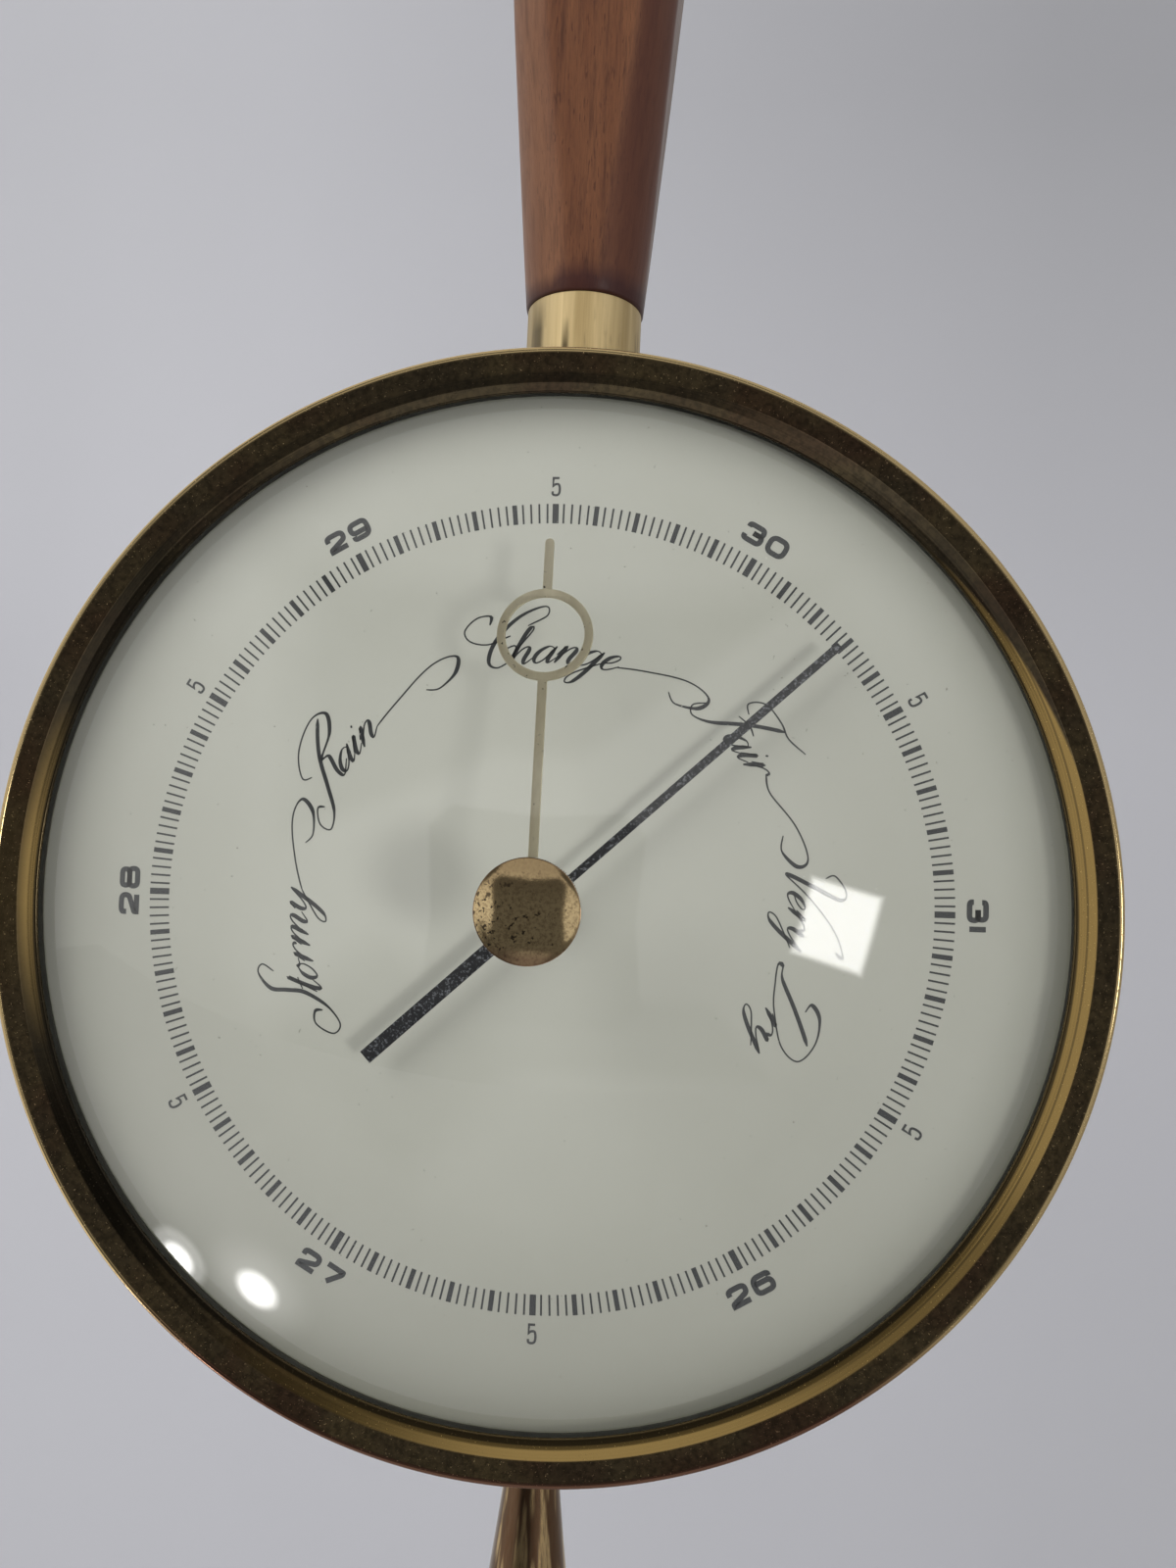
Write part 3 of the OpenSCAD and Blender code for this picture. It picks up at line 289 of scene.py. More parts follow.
def walnutFinish():
    w = SimpleNamespace(**walnut)
    finish, tree = startFinish("walnut", **w.gloss)
    broad = grains(tree, (3.2, 3.2, 150), 3.0, 0.5)
    streak = grains(tree, (0.9, 0.9, 70), 4.0, 0.6, 4.4)
    hair = grains(tree, (0.22, 0.22, 9), 3.0, 0.6, 1.9)
    pores = grains(tree, (0.30, 0.30, 3.4), 2.0, 0.5, 6.2)
    scallops = grains(tree, (5.0, 5.0, 400), 2.0, 0.5, 8.8).over(*w.scallop)
    above = places(tree)[1] - scallops - w.stainTop
    side = sideways(tree)
    tone = layered(
        w.middle, (broad.spread(0.32, 0.66), w.light),
        (streak.spread(0.50, 0.72, 0.0, 0.85), w.dark), (hair.spread(0.35, 0.7, 0.0, 0.4), w.dark),
        (pores.spread(0.62, 0.70, 0.0, 0.75), w.dark),
        # painted shade darkens the right-facing side, and a painted highlight lightens the
        # left-facing side
        (side.spread(0.2, 0.6, 0.0, 0.75), w.shade), (side.fade(-0.6, -0.2, 0.3), w.fresh),
        # the finish is darker where it met the collar, with a scalloped edge
        (above.fade(-w.stainSoft, w.stainSoft / 2, 0.8), w.stain))
    rough = streak.over(w.rough * 0.85, w.rough * 1.2)
    return endFinish(finish, tone, rough, hair + pores * -0.6, 0.03)


bezelMetal = {
    "light": (0.31, 0.230, 0.120), "dark": (0.20, 0.152, 0.092), "red": (0.18, 0.094, 0.062),
    # the tarnish colour is real tarnish in the mottle and painted dark reflection elsewhere; the
    # polished colour is a painted highlight
    "tarnish": (0.034, 0.029, 0.021), "polished": (0.46, 0.310, 0.11),
    "rubbed": (0.54, 0.405, 0.205), "rough": 0.13,
    # from and to where each part of the face changes
    "bandTo": (72.0, 72.3), "narrows": (74.0, 74.4), "leftSide": (-55, -42), "streakTo": (4, 24),
    "groove": 70.9, "lipGrime": (69.7, 69.95), "beadFrom": (74.50, 74.70), "beadRed": (-62, -50),
}


# Dark polished brass with fine lines round it, some reddish patches and bright pinpricks.
def bezelFinish():
    b = SimpleNamespace(**bezelMetal)
    finish, tree = startFinish("bezelBrass", Metallic=1.0)
    x, z, out = places(tree)
    around = {"X": out * 4.2, "Y": coordinate(tree, "Object", "Y") * 2600.0}
    lines = noise(tree, addNode(tree, "ShaderNodeCombineXYZ", around), 3.0, 0.6)
    broad = grains(tree, 9, 4.0, 0.6, 2.2)
    grit = grains(tree, 0.28, 2.0, 0.5, 5.1)
    reddish = grains(tree, 14, 2.0, 0.5, 9.4)
    mottle = grains(tree, 0.8, 3.0, 0.7, 6.6)
    # a painted highlight keeps the flat band bright below and at the right;
    # at the left and along the top painted dark reflection darkens it, but for one painted
    # highlight streak
    flatBand = out.fade(*b.bandTo)
    beside = x.fade(*b.leftSide)
    streak = abs(z - 1.0).fade(*b.streakTo) * out.spread(70.8, 72.2, 1.0, 0.3)
    # at the upper right the painted highlight narrows towards the lip, and what is past it is
    # painted dark
    past = (out + z * 0.095).spread(*b.narrows)
    highlightShare = (x * 1.1 - z * 0.8).spread(0, 30) * past.fade(0, 1)
    above = z.spread(30, 55) * x.spread(5, 40, 0.68, 0.60)
    above = above.most(past * x.spread(30, 50, 0.0, 0.8))
    # a painted dark line along the bend at the right
    paintedDarkLine = abs(out - b.groove).fade(0.08, 0.2, 0.5) * x.spread(30, 50)
    tone = layered(
        b.dark, (broad.spread(0.35, 0.65), b.light), (reddish.spread(0.52, 0.66, 0.0, 0.6), b.red),
        # painted highlight and painted dark reflection on the flat band
        (mottle.spread(0.42, 0.62, 0.0, 0.5), b.tarnish), (flatBand * highlightShare, b.polished),
        (flatBand * (beside * 0.9).most(above), b.tarnish), (beside * streak * 0.7, b.polished),
        # the painted bend line, then the lip's inner edge made darker
        (paintedDarkLine, b.tarnish), ((out + z * 0.006).fade(*b.lipGrime, 0.85), b.tarnish),
        # the bead is rubbed bright, but a painted reflection makes it reddish below
        (out.spread(*b.beadFrom), layered(b.red, (z.spread(*b.beadRed), b.rubbed))))
    rough = lines.over(b.rough * 0.6, b.rough * 1.3) + grit.spread(0.66, 0.72, 0.0, 0.35)
    return endFinish(finish, tone, rough, lines + grit.spread(0.68, 0.74, 0.0, 3.0), 0.006)


dialPaint = {
    "face": (0.520, 0.508, 0.462), "low": (0.486, 0.474, 0.425), "clean": (0.610, 0.597, 0.545),
    "speck": (0.66, 0.66, 0.60), "spot": (0.16, 0.15, 0.12), "grey": (0.30, 0.29, 0.25),
    "edge": (0.16, 0.155, 0.115), "edgeOver": (58.4, 71.5), "cleanTo": (10, 45), "rough": 0.55,
}


def dialFinish():
    d = SimpleNamespace(**dialPaint)
    finish, tree = startFinish("dialPaint")
    x, z, out = places(tree)
    fine = grains(tree, 0.9, 3.0, 0.6, 3.3)
    dust = grains(tree, 0.42, 1.0, 0.4, 1.7)
    dirt = grains(tree, 0.55, 1.0, 0.4, 8.9)
    # painted shade: greyer towards the lower right and, within the outer ring, the lower left
    rightLow = x * 0.75 - z * 0.65
    leftLow = (x * -0.6 - z * 0.8).spread(-8, 40) * out.spread(42, 62, 0.0, 0.55)
    # painted shadow of the bezel along the dial's rim, a little stronger at the lower right
    rimShadow = out.spread(*d.edgeOver)
    tone = layered(
        d.low, (grains(tree, 26, 4.0, 0.55).over(), d.face), (fine.over(0.0, 0.10), d.low),
        (dust.spread(0.775, 0.80, 0.0, 0.6), d.speck), (dirt.spread(0.79, 0.81, 0.0, 0.7), d.spot),
        # painted light makes it paler round the middle, painted shade makes it greyer towards the
        # lower right and lower left, and a painted shadow darkens it beside the rim
        (out.fade(*d.cleanTo, 0.9), d.clean), (rightLow.spread(-50, 65, 0.0, 0.45), d.grey),
        (leftLow, d.grey), (rimShadow * rimShadow * rightLow.spread(-45, 30, 0.85, 1.0), d.edge))
    return endFinish(finish, tone, fine.over(d.rough * 0.9, d.rough * 1.1), fine, 0.003, 0.2)


dialInk = {"fresh": (0.022, 0.023, 0.026), "worn": (0.17, 0.17, 0.15)}


def inkFinish():
    finish, tree = startFinish("dialInk")
    worn = grains(tree, 0.16, 2.0, 0.6)
    tone = layered(dialInk["fresh"], (worn.spread(0.55, 0.72, 0.0, 0.35), dialInk["worn"]))
    return endFinish(finish, tone, worn.over(0.45, 0.6))


clearGlass = {"body": {"Base Color": (0.985, 0.992, 0.985, 1), "Transmission Weight": 1.0,
                       "IOR": 1.47},
              "through": (0.93, 0.945, 0.93)}


# Clear glass; lamplight and bounced light pass straight through it.
def glassFinish():
    finish, tree = startFinish("domeGlass", **clearGlass["body"])
    smear = grains(tree, 18, 4.0, 0.6).spread(0.5, 0.75, 0.0, 0.003)
    dust = grains(tree, 0.5, 1.0, 0.4, 2.6).spread(0.77, 0.80, 0.0, 0.2)
    shadow, bounced = (addNode(tree, "ShaderNodeLightPath", output="Is " + kind + " Ray")
                       for kind in ("Shadow", "Diffuse"))
    clearWhere(tree, shadow.most(bounced), clearGlass["through"])
    return endFinish(finish, None, smear + dust)


handBlack = {"paint": (0.008, 0.008, 0.010), "rubbed": (0.15, 0.152, 0.168)}


def handBlackFinish():
    finish, tree = startFinish("handBlack")
    grit = grains(tree, 0.30, 2.0, 0.6)
    tone = layered(handBlack["paint"], (grit.spread(0.54, 0.66), handBlack["rubbed"]))
    return endFinish(finish, tone, grit.over(0.32, 0.5), grit, 0.02)


dropBrass = {"dark": (0.13, 0.078, 0.046), "light": (0.50, 0.36, 0.19),
             "streak": (0.10, 0.05, 0.025)}


# The drop's polish is streaked along its length.
def dropFinish():
    finish, tree = startFinish("dropBrass", Metallic=1.0)
    bands = grains(tree, (1.7, 1.7, 260), 2.0, 0.5, 0.6)
    hair = grains(tree, (0.35, 0.35, 40), 3.0, 0.6, 4.0)
    tone = layered(dropBrass["dark"], (bands.spread(0.45, 0.56), dropBrass["light"]),
                   (hair.spread(0.45, 0.7, 0.0, 0.7), dropBrass["streak"]))
    return endFinish(finish, tone, hair.over(0.12, 0.24), hair, 0.006, 0.4)


knobBrass = {
    "light": (0.78, 0.60, 0.33), "dark": (0.38, 0.27, 0.145), "pit": (0.05, 0.036, 0.026),
    "grime": (0.22, 0.125, 0.08), "red": (0.50, 0.29, 0.19), "grimeOver": (6.22, 6.36),
    "pitted": (-5, 1), "darkUp": (1.0, 5.0), "redBelow": (-5.6, -4.0), "rough": 0.05,
}


# Polished brass, finely mottled, pitted mostly at its left, with dirt in the knurls; painted
# reflection darkens its top and reddens its bottom.
def knobFinish():
    k = SimpleNamespace(**knobBrass)
    finish, tree = startFinish("knobBrass", Metallic=1.0)
    x, z, out = places(tree)
    mottle = grains(tree, 0.42, 4.0, 0.75)
    pits = grains(tree, 0.62, 3.0, 0.6, 7.3) + x.fade(*k.pitted, 0.10)
    tone = layered(
        k.light, (mottle.spread(0.44, 0.68), k.dark), (pits.spread(0.65, 0.69, 0.0, 0.9), k.pit),
        # painted reflection: darker on top and reddish below
        (z.spread(*k.darkUp, 0.0, 0.85), k.dark), (z.fade(*k.redBelow, 0.6), k.red),
        (out.spread(*k.grimeOver, 0.0, 0.75), k.grime))
    rough = mottle.spread(0.35, 0.7, k.rough * 0.7, k.rough * 2.2)
    return endFinish(finish, tone, rough, mottle - pits, 0.004)


collarBrass = {
    "light": (0.68, 0.525, 0.275), "dark": (0.44, 0.32, 0.145), "smudge": (0.115, 0.085, 0.036),
    "smudged": (87.0, 91.0), "rough": 0.45,
    "marks": [(-6.6, 1.2, 91.0), (-2.1, 0.7, 87.6)], "markTall": 4.5,  # x, half width, top
}


# Satin brass, with painted shade darkening it towards its sides, smudged low down where the
# polishing cloth didn't reach.
def collarFinish():
    c = SimpleNamespace(**collarBrass)
    finish, tree = startFinish("collarBrass", Metallic=0.3)
    x, z = places(tree)[:2]
    fine = grains(tree, (0.35, 0.35, 14), 2.0, 0.6)
    broad = grains(tree, (2.2, 2.2, 60), 4.0, 0.6, 3.1)
    cloud = grains(tree, (1.5, 1.5, 11), 3.0, 0.6, 5.7).spread(0.54, 0.70, 0.0, 0.6)
    side = sideways(tree)
    shares = [cloud * z.spread(*c.smudged, 1.0, 0.15)]
    for at, half, top in c.marks:
        shares.append(abs(x - at).fade(0.35 * half, half) * z.fade(top - c.markTall, top))
    # painted shade where the surface turns to either side
    shares += [side.fade(-0.8, -0.35, 0.5), side.spread(0.3, 0.8, 0.0, 0.35)]
    tone = layered(c.dark, (broad.spread(0.34, 0.62), c.light), (fine.over(0.0, 0.28), c.dark),
                   *((share, c.smudge) for share in shares))
    return endFinish(finish, tone, broad.over(c.rough * 1.3, c.rough * 0.8), fine, 0.004, 0.6)


metals = {
    "case_brass": {"name": "caseBrass", "light": (0.52, 0.40, 0.20), "dark": (0.34, 0.25, 0.12),
                   "rough": 0.38, "lines": (0.3, 9, 9), "patches": 22, "spots": 0.6},
    "hand": {"name": "handBrass", "light": (0.77, 0.70, 0.51), "dark": (0.62, 0.55, 0.385),
             "rough": 0.42, "lines": (0.4, 0.4, 5), "patches": (3, 3, 9), "spots": 0.5},
    "work_brass": {"name": "movementBrass", "light": (0.62, 0.50, 0.28), "dark": (0.48, 0.37, 0.19),
                   "rough": 0.30, "lines": (6, 0.4, 0.4), "patches": 12},
    "steel": {"name": "brightSteel", "light": (0.56, 0.57, 0.58), "dark": (0.40, 0.41, 0.42),
              "rough": 0.26, "lines": (0.3, 4, 4), "patches": 8},
    "blue_steel": {"name": "bluedSteel", "light": (0.10, 0.14, 0.27), "dark": (0.06, 0.08, 0.16),
                   "rough": 0.24, "lines": (0.3, 4, 4), "patches": 6},
    "nickel_silver": {"name": "nickelSilver", "light": (0.62, 0.60, 0.53),
                      "dark": (0.47, 0.45, 0.39), "rough": 0.30, "lines": (0.3, 0.3, 3),
                      "patches": 9},
}

# Most are named after the record's slots.
finishes = {
    "walnut": walnutFinish(), "bezel_brass": bezelFinish(), "dial_paint": dialFinish(),
    "glass": glassFinish(), "hand_black": handBlackFinish(), "bright_brass": collarFinish(),
    "ink": inkFinish(), "drop": dropFinish(), "knob": knobFinish(),
    "gasket": matFinish("gasketRubber", (0.05, 0.048, 0.042), 0.7),
    "leather": matFinish("washerLeather", (0.15, 0.09, 0.055), 0.75, 1.5, 0.35, 0.05),
    **{slot: metalFinish(**metal) for slot, metal in metals.items()},
}
finishes["aged_brass"] = finishes["bright_brass"]
print("finishes made:", len(finishes))


def dress(name, finish):
    piece = nodes[name]
    if not piece.material_slots:
        piece.data.materials.append(finishes[finish])
    for held in piece.material_slots:
        held.material = finishes[finish]


for part in frame["record"]["subparts"]:
    dress(part["node"], part["material_slot"])
dress("spindle_nut", "work_brass")

# Glass, bezel, collar, drop and knob are turned.

glassDome = {"radius": 71.6, "foot": 40.3, "edgeFlat": 0.6, "innerR": 151.251, "outerR": 152.951,
             "centre": -93.251, "hole": 1.75, "steps": 192, "rows": 40}


def makeGlass():
    g = SimpleNamespace(**glassDome)

    def side(ball, start, end):
        radii = [start + (end - start) * i / g.rows for i in range(g.rows + 1)]
        return [(r, g.centre + math.sqrt(ball ** 2 - r * r)) for r in radii]

    profile = (side(g.innerR, g.hole, g.radius - g.edgeFlat) + [(g.radius, g.foot)]
               + side(g.outerR, g.radius, g.hole))
    bm = turn(profile, atWall, g.steps, ring=True)
    makePiece("domeGlass", bm, "housing", "glass", ["glass_dome"])


bezelShape = {"skirtR": 74.85, "foot": 31.0, "beadR": 0.62, "beadAt": (74.88, 43.98),
              "slopeTo": (72.15, 43.83), "bendAt": (70.7, 43.85), "lipR": 69.3, "lipTop": 43.77,
              "roll": 0.28, "under": [(70.0, 42.9), (71.02, 42.98), (73.0, 43.1), (74.05, 42.6)],
              "caseR": 74.05, "rowsAt": (0.06, 0.35, 0.65, 0.94, 1.0), "steps": 288, "smooth": 12}


# Small bead, broad slope and a nearly flat band that ends in the lip on the glass.
def makeBezel():
    b = SimpleNamespace(**bezelShape)
    bx, by = b.beadAt
    inner = b.lipR + b.roll
    corners = [(bx, by + b.beadR), b.slopeTo, b.bendAt, (inner, b.lipTop)]
    face = [(r0 + (r1 - r0) * t, h0 + (h1 - h0) * t)
            for (r0, h0), (r1, h1) in zip(corners, corners[1:]) for t in b.rowsAt]
    profile = ([(b.skirtR, b.foot + 0.2), (b.skirtR, by - 1.0), (b.skirtR + 0.3, by - 0.6)]
               + arcPoints(bx, by, b.beadR, -45, 100, 20) + face[:-1]
               + arcPoints(inner, b.lipTop - b.roll, b.roll, 90, 200, 10) + b.under
               + [(b.caseR, b.foot), (b.skirtR - 0.2, b.foot)])
    bm = turn(profile, atWall, b.steps, ring=True)
    makePiece("bezelRing", bm, "housing", "bezel_brass", ["bezel"], upTo=b.smooth)


drum = {"r": 74.0, "gap": 0.02, "shaftAxis": 18.3}


def upShaft(x, z, y):
    return atWall(x, y, drum["shaftAxis"] + z)


# Collar and drop stand on the drum, so their nearest edge follows its side.
def onDrum(x, z, y, side=1):
    nearest = math.sqrt((drum["r"] + drum["gap"]) ** 2 - x * x)
    return upShaft(x, z, side * max(y, nearest))


def underDrum(x, z, y):
    return onDrum(x, z, y, -1)


collar = {"r": 8.95, "bore": 7.90, "foot": 73.0, "top": 91.5, "rim": 0.3, "rows": (74.6, 89.5),
          "steps": 128}


def makeCollar():
    c = SimpleNamespace(**collar)
    profile = ([(c.bore, c.foot), (c.r, c.foot)] + [(c.r, y) for y in c.rows]
               + arcPoints(c.r - c.rim, c.top - c.rim, c.rim, 0, 90, 8) + [(c.bore, c.top)])
    bm = turn(profile, onDrum, c.steps, ring=True)
    makePiece("shaftCollar", bm, "housing", "bright_brass", ["ferrule"])


drop = {"neck": 3.0, "r": 9.5, "top": 74.0, "gap": 0.03, "body": 51.5, "flare": 1.3, "tuck": 0.35,
        "tuckLate": 12, "steps": 128, "rows": 48, "endRows": 24}


def makeDrop():
    d = SimpleNamespace(**drop)
    profile = [(0.0, d.top), (d.neck, d.top)]
    for t in (i / d.rows for i in range(d.rows + 1)):
        last = d.neck + (d.r - d.neck) * t ** d.flare - d.tuck * t ** d.tuckLate
        profile.append((last, d.top + d.gap + d.body * t))
    for a in (math.pi / 2 * i / d.endRows for i in range(1, d.endRows + 1)):
        profile.append((last * math.cos(a), d.top + d.body + d.r * math.sin(a)))
    bm = turn(profile, underDrum, d.steps)
    makePiece("drop", bm, "housing", "aged_brass", ["finial"], "drop")


knob = {"r": 6.45, "foot": 60.1, "top": 62.5, "dome": 0.52, "rim": 0.32, "edge": 0.12,
        "knurls": 128, "cut": 0.30, "spindleR": 1.5, "spindleEnd": 55.2, "steps": 640,
        "faceRows": 12}


def makeKnob():
    k = SimpleNamespace(**knob)
    edge = k.top - k.dome
    profile = [(0.0, k.spindleEnd), (k.spindleR - 0.1, k.spindleEnd),
               (k.spindleR, k.spindleEnd + 0.1), (k.spindleR, k.foot),
               (k.r - 0.35, k.foot), (k.r - 0.1, k.foot + 0.12), (k.r, k.foot + k.rim),
               (k.r, edge - 0.45), (k.r, edge - k.edge)]
    knurled = range(5, len(profile) + 3)
    profile += arcPoints(k.r - k.edge, edge - k.edge, k.edge, 12, 70, 4)
    flat = k.r - k.edge - 0.05
    inward = [1 - i / k.faceRows for i in range(k.faceRows + 1)]
    profile += [(flat * t, edge + k.dome * (1 - t ** 2)) for t in inward]

    def cuts(row, a):
        return -k.cut * (0.5 - 0.5 * math.cos(k.knurls * a)) ** 1.5 if row in knurled else 0.0

    bm = turn(profile, atWall, k.steps, ripple=cuts)
    makePiece("knurledKnob", bm, "memory_hand", "bright_brass", ["set_knob"], "knob")


makeGlass()
makeBezel()
makeCollar()
makeDrop()
makeKnob()
print("turned pieces made")

# The two hands are stamped from sheet.

# Outlines in millimetres become a plate with softly broken edges.
def stampPlate(outlines, thickness, broken):
    curve = bpy.data.curves.new("stamping", "CURVE")
    curve.dimensions, curve.fill_mode = "2D", "BOTH"
    curve.extrude, curve.bevel_depth, curve.bevel_resolution = thickness / 2 - broken, broken, 2
    curve.offset = -broken
    for outline in outlines:
        line = curve.splines.new("POLY")
        line.points.add(len(outline) - 1)
        for point, (x, y) in zip(line.points, outline):
            point.co = (x, y, 0, 1)
        line.use_cyclic_u = True
    blank = bpy.data.objects.new("stamping", curve)
    bpy.context.scene.collection.objects.link(blank)
    seen = blank.evaluated_get(bpy.context.evaluated_depsgraph_get())
    mesh = bpy.data.meshes.new_from_object(seen)
    bm = bmesh.new()
    bm.from_mesh(mesh)
    bmesh.ops.remove_doubles(bm, verts=bm.verts, dist=1e-4)
    bpy.data.objects.remove(blank)
    bpy.data.curves.remove(curve)
    bpy.data.meshes.remove(mesh)
    return bm


pressureHand = {"clockwise": 46.58, "z": 43.6, "t": 0.35, "pointerL": 52.0, "pointerW": 1.15,
                "tailL": 31.0, "tailW": 1.97, "hubR": 2.3, "broken": 0.05}


def makePressureHand():
    p = SimpleNamespace(**pressureHand)
    wide, slim = p.tailW / 2, p.pointerW / 2
    up, down = (math.degrees(math.asin(w / p.hubR)) for w in (slim, wide))
    right = arcPoints(0, 0, p.hubR, 90 - up, -90 + down, 14)
    left = arcPoints(0, 0, p.hubR, 270 - down, 90 + up, 14)
    outline = ([(slim, p.pointerL)] + right + [(wide, -p.tailL), (-wide, -p.tailL)] + left
               + [(-slim, p.pointerL)])
    bm = stampPlate([outline], p.t, p.broken)
    for v in bm.verts:
        x, y = turnedBy(v.co.x, v.co.y, p.clockwise)
        v.co = atWall(x, y, p.z + p.t / 2 + v.co.z)
    makePiece("readingHand", bm, "reading_hand", "hand_black", ["pressure_hand"])


setHand = {"clockwise": -0.7, "z": 56.9, "t": 0.4, "length": 47.4, "ringAt": 34.5, "ringR": 6.15,
           "band": 1.1, "stick": 1.2, "bendAt": 3.0, "boreR": 1.52, "hubR": 3.6, "droop": 10.4,
           "broken": 0.07, "steps": 64}


def makeSetHand():
    s = SimpleNamespace(**setHand)
    slope = math.radians(s.droop)
    half = s.stick / 2
    ringY = (s.ringAt - s.bendAt) / math.cos(slope)
    tipY = (s.length - s.bendAt) / math.cos(slope) - half
    meet = math.degrees(math.asin(half / s.ringR))
    outline = ([(half, 0.0)] + arcPoints(0, ringY, s.ringR, -90 + meet, 90 - meet, 40)
               + arcPoints(0, tipY, half, 0, 180, 12)
               + arcPoints(0, ringY, s.ringR, 90 + meet, 270 - meet, 40) + [(-half, 0.0)])
    hole = arcPoints(0, ringY, s.ringR - s.band, 0, 356, 89)
    bm = stampPlate([outline, hole], s.t, s.broken)
    for v in bm.verts:
        t = v.co.z + s.t / 2
        y = s.bendAt + v.co.y * math.cos(slope) + t * math.sin(slope)
        h = s.z + t * math.cos(slope) - v.co.y * math.sin(slope)
        x, y = turnedBy(v.co.x, y, s.clockwise)
        v.co = atWall(x, y, h)
    top = s.z + s.t
    hub = [(s.boreR, s.z), (s.hubR, s.z), (s.hubR, top), (s.boreR, top)]
    turn(hub, atWall, s.steps, ring=True, bm=bm)
    makePiece("memoryHand", bm, "memory_hand", "bright_brass", ["set_hand"], "hand")


makePressureHand()
makeSetHand()
print("hands made")

shaft = {"foot": 91.5, "end": 330.5, "footHalf": 9.25, "swell": 16.4, "swellAt": 224.5,
         "straightTo": 147.36, "rise": 4.2296, "taper": 1.9, "topHalf": 9.0, "tenonR": 7.88,
         "tenonFoot": 78.5, "capTenonR": 7.95, "capTenonEnd": 341.45, "corner": 0.141,
         "cornerGrows": (40, 60), "softness": 90.0, "steps": 160, "rows": 96,
         # centre, width, length, and from and to above the wall
         "plateRecess": (226.0, 15.1, 38.1, -1.0, 3.45),
         "headPocket": (225.5, 9.4, 20.4, 1.0, 9.95)}


def shaftHalf(y):
    s = SimpleNamespace(**shaft)
    if y < s.straightTo:
        return s.footHalf + s.rise * (y - s.foot) / (s.straightTo - s.foot)
    if y < s.swellAt:
        left = (s.swellAt - y) / (s.swellAt - s.straightTo)
        return s.swell - (s.swell - s.footHalf - s.rise) * left ** 2
    return s.swell - (s.swell - s.topHalf) * ((y - s.swellAt) / (s.end - s.swellAt)) ** s.taper


# A rounded bar along the shaft, to cut the hanger's recess.
def cutBar(name):
    centre, width, length, low, high = shaft[name]
    r = width / 2
    reach = length / 2 - r
    outline = (arcPoints(0, centre + reach, r, 0, 180, 24)
               + arcPoints(0, centre - reach, r, 180, 360, 24))
    bm = bmesh.new()
    rows = [[bm.verts.new(atWall(x, y, h)) for x, y in outline] for h in (low, high)]
    skin(bm, rows, caps=True)
    return addObject(name, bm)


def makeShaft():
    s = SimpleNamespace(**shaft)
    rows = [(s.tenonFoot, s.tenonR, False), (s.foot, s.tenonR, False)]
    for lift, inset in ((0.0, 0.35), (0.12, 0.12), (0.4, 0.0)):
        rows.append((s.foot + lift, shaftHalf(s.foot + lift) - inset, True))
    for y in (s.foot + (s.end - s.foot) * i / s.rows for i in range(1, s.rows)):
        rows.append((y, shaftHalf(y), True))
    rows += [(s.end, s.topHalf, True), (s.end, s.capTenonR, False),
             (s.capTenonEnd, s.capTenonR, False)]
    low, high = s.cornerGrows
    n = s.softness
    bm = bmesh.new()
    rings = []
    for y, half, planed in rows:
        grown = max(0.0, min(1.0, (y - s.foot) / low, (s.end - y) / high))
        turned = half * (1 + s.corner * grown)
        ring = []
        for k in range(s.steps):
            a = math.tau * (k + 0.5) / s.steps
            flat = half / max(abs(math.cos(a)), abs(math.sin(a)))
            reach = (flat ** -n + turned ** -n) ** (-1 / n) if planed else half
            ring.append(bm.verts.new(upShaft(reach * math.cos(a), reach * math.sin(a), y)))
        rings.append(ring)
    skin(bm, rings, caps=True)
    piece = makePiece("walnutShaft", bm, "housing", "walnut", ["wood_shaft"])
    bars = [cutBar("plateRecess"), cutBar("headPocket")]
    for bar in bars:
        step = piece.modifiers.new(bar.name, "BOOLEAN")
        step.operation, step.object, step.solver = "DIFFERENCE", bar, "EXACT"
    seen = piece.evaluated_get(bpy.context.evaluated_depsgraph_get())
    cut = bpy.data.meshes.new_from_object(seen)
    piece.modifiers.clear()
    piece.data = cut
    shadeSmooth(cut)
    for bar in bars:
        bpy.data.objects.remove(bar)


makeShaft()
print("shaft made")

dialPrint = {"turn": -1.0, "face": 40.0, "ink": 0.02, "ticks": 300, "tickIn": 51.95,
             "tickOut": 54.65, "fineW": 0.26, "fifthW": 0.66, "halfInchW": 0.85}


# The dial is turned a little against the shaft, so its print has its own upright.
def onDial(x, y, lift):
    return atWall(*turnedBy(x, y, dialPrint["turn"]), dialPrint["face"] + lift)


# A flat line of ink along points, as wide at each as widths says.
def inkLine(bm, points, widths, closed=False):
    low, high = -dialPrint["ink"], dialPrint["ink"]
    spots = [Vector(point) for point in points]
    first, last = (spots[-1], spots[0]) if closed else (spots[0], spots[-1])
    rows = []
    for before, spot, after, width in zip([first] + spots, spots, spots[1:] + [last], widths):
        d1, d2 = (spot - before).normalized(), (after - spot).normalized()
        d1 = d1 if d1.length > 0.5 else d2
        d2 = d2 if d2.length > 0.5 else d1
        along = (d1 + d2).normalized() if (d1 + d2).length > 1e-6 else d1
        side = Vector((-along.y, along.x)) * width / 2 / max(0.6, along.dot(d1))
        rows.append([bm.verts.new(onDial(spot.x + side.x * s, spot.y + side.y * s, h))
                     for s, h in ((1, low), (-1, low), (-1, high), (1, high))])
    skin(bm, rows, ring=closed, caps=not closed)


def makeTicks():
    d = SimpleNamespace(**dialPrint)
    bm = bmesh.new()
    for i in range(d.ticks):
        width = d.halfInchW if i % 25 == 0 else d.fifthW if i % 5 == 0 else d.fineW
        a = 360 * i / d.ticks
        inkLine(bm, [polar(d.tickIn, a), polar(d.tickOut, a)], [width] * 2)
    makePiece("scaleTicks", bm, "housing", "dial_paint", finish="ink")


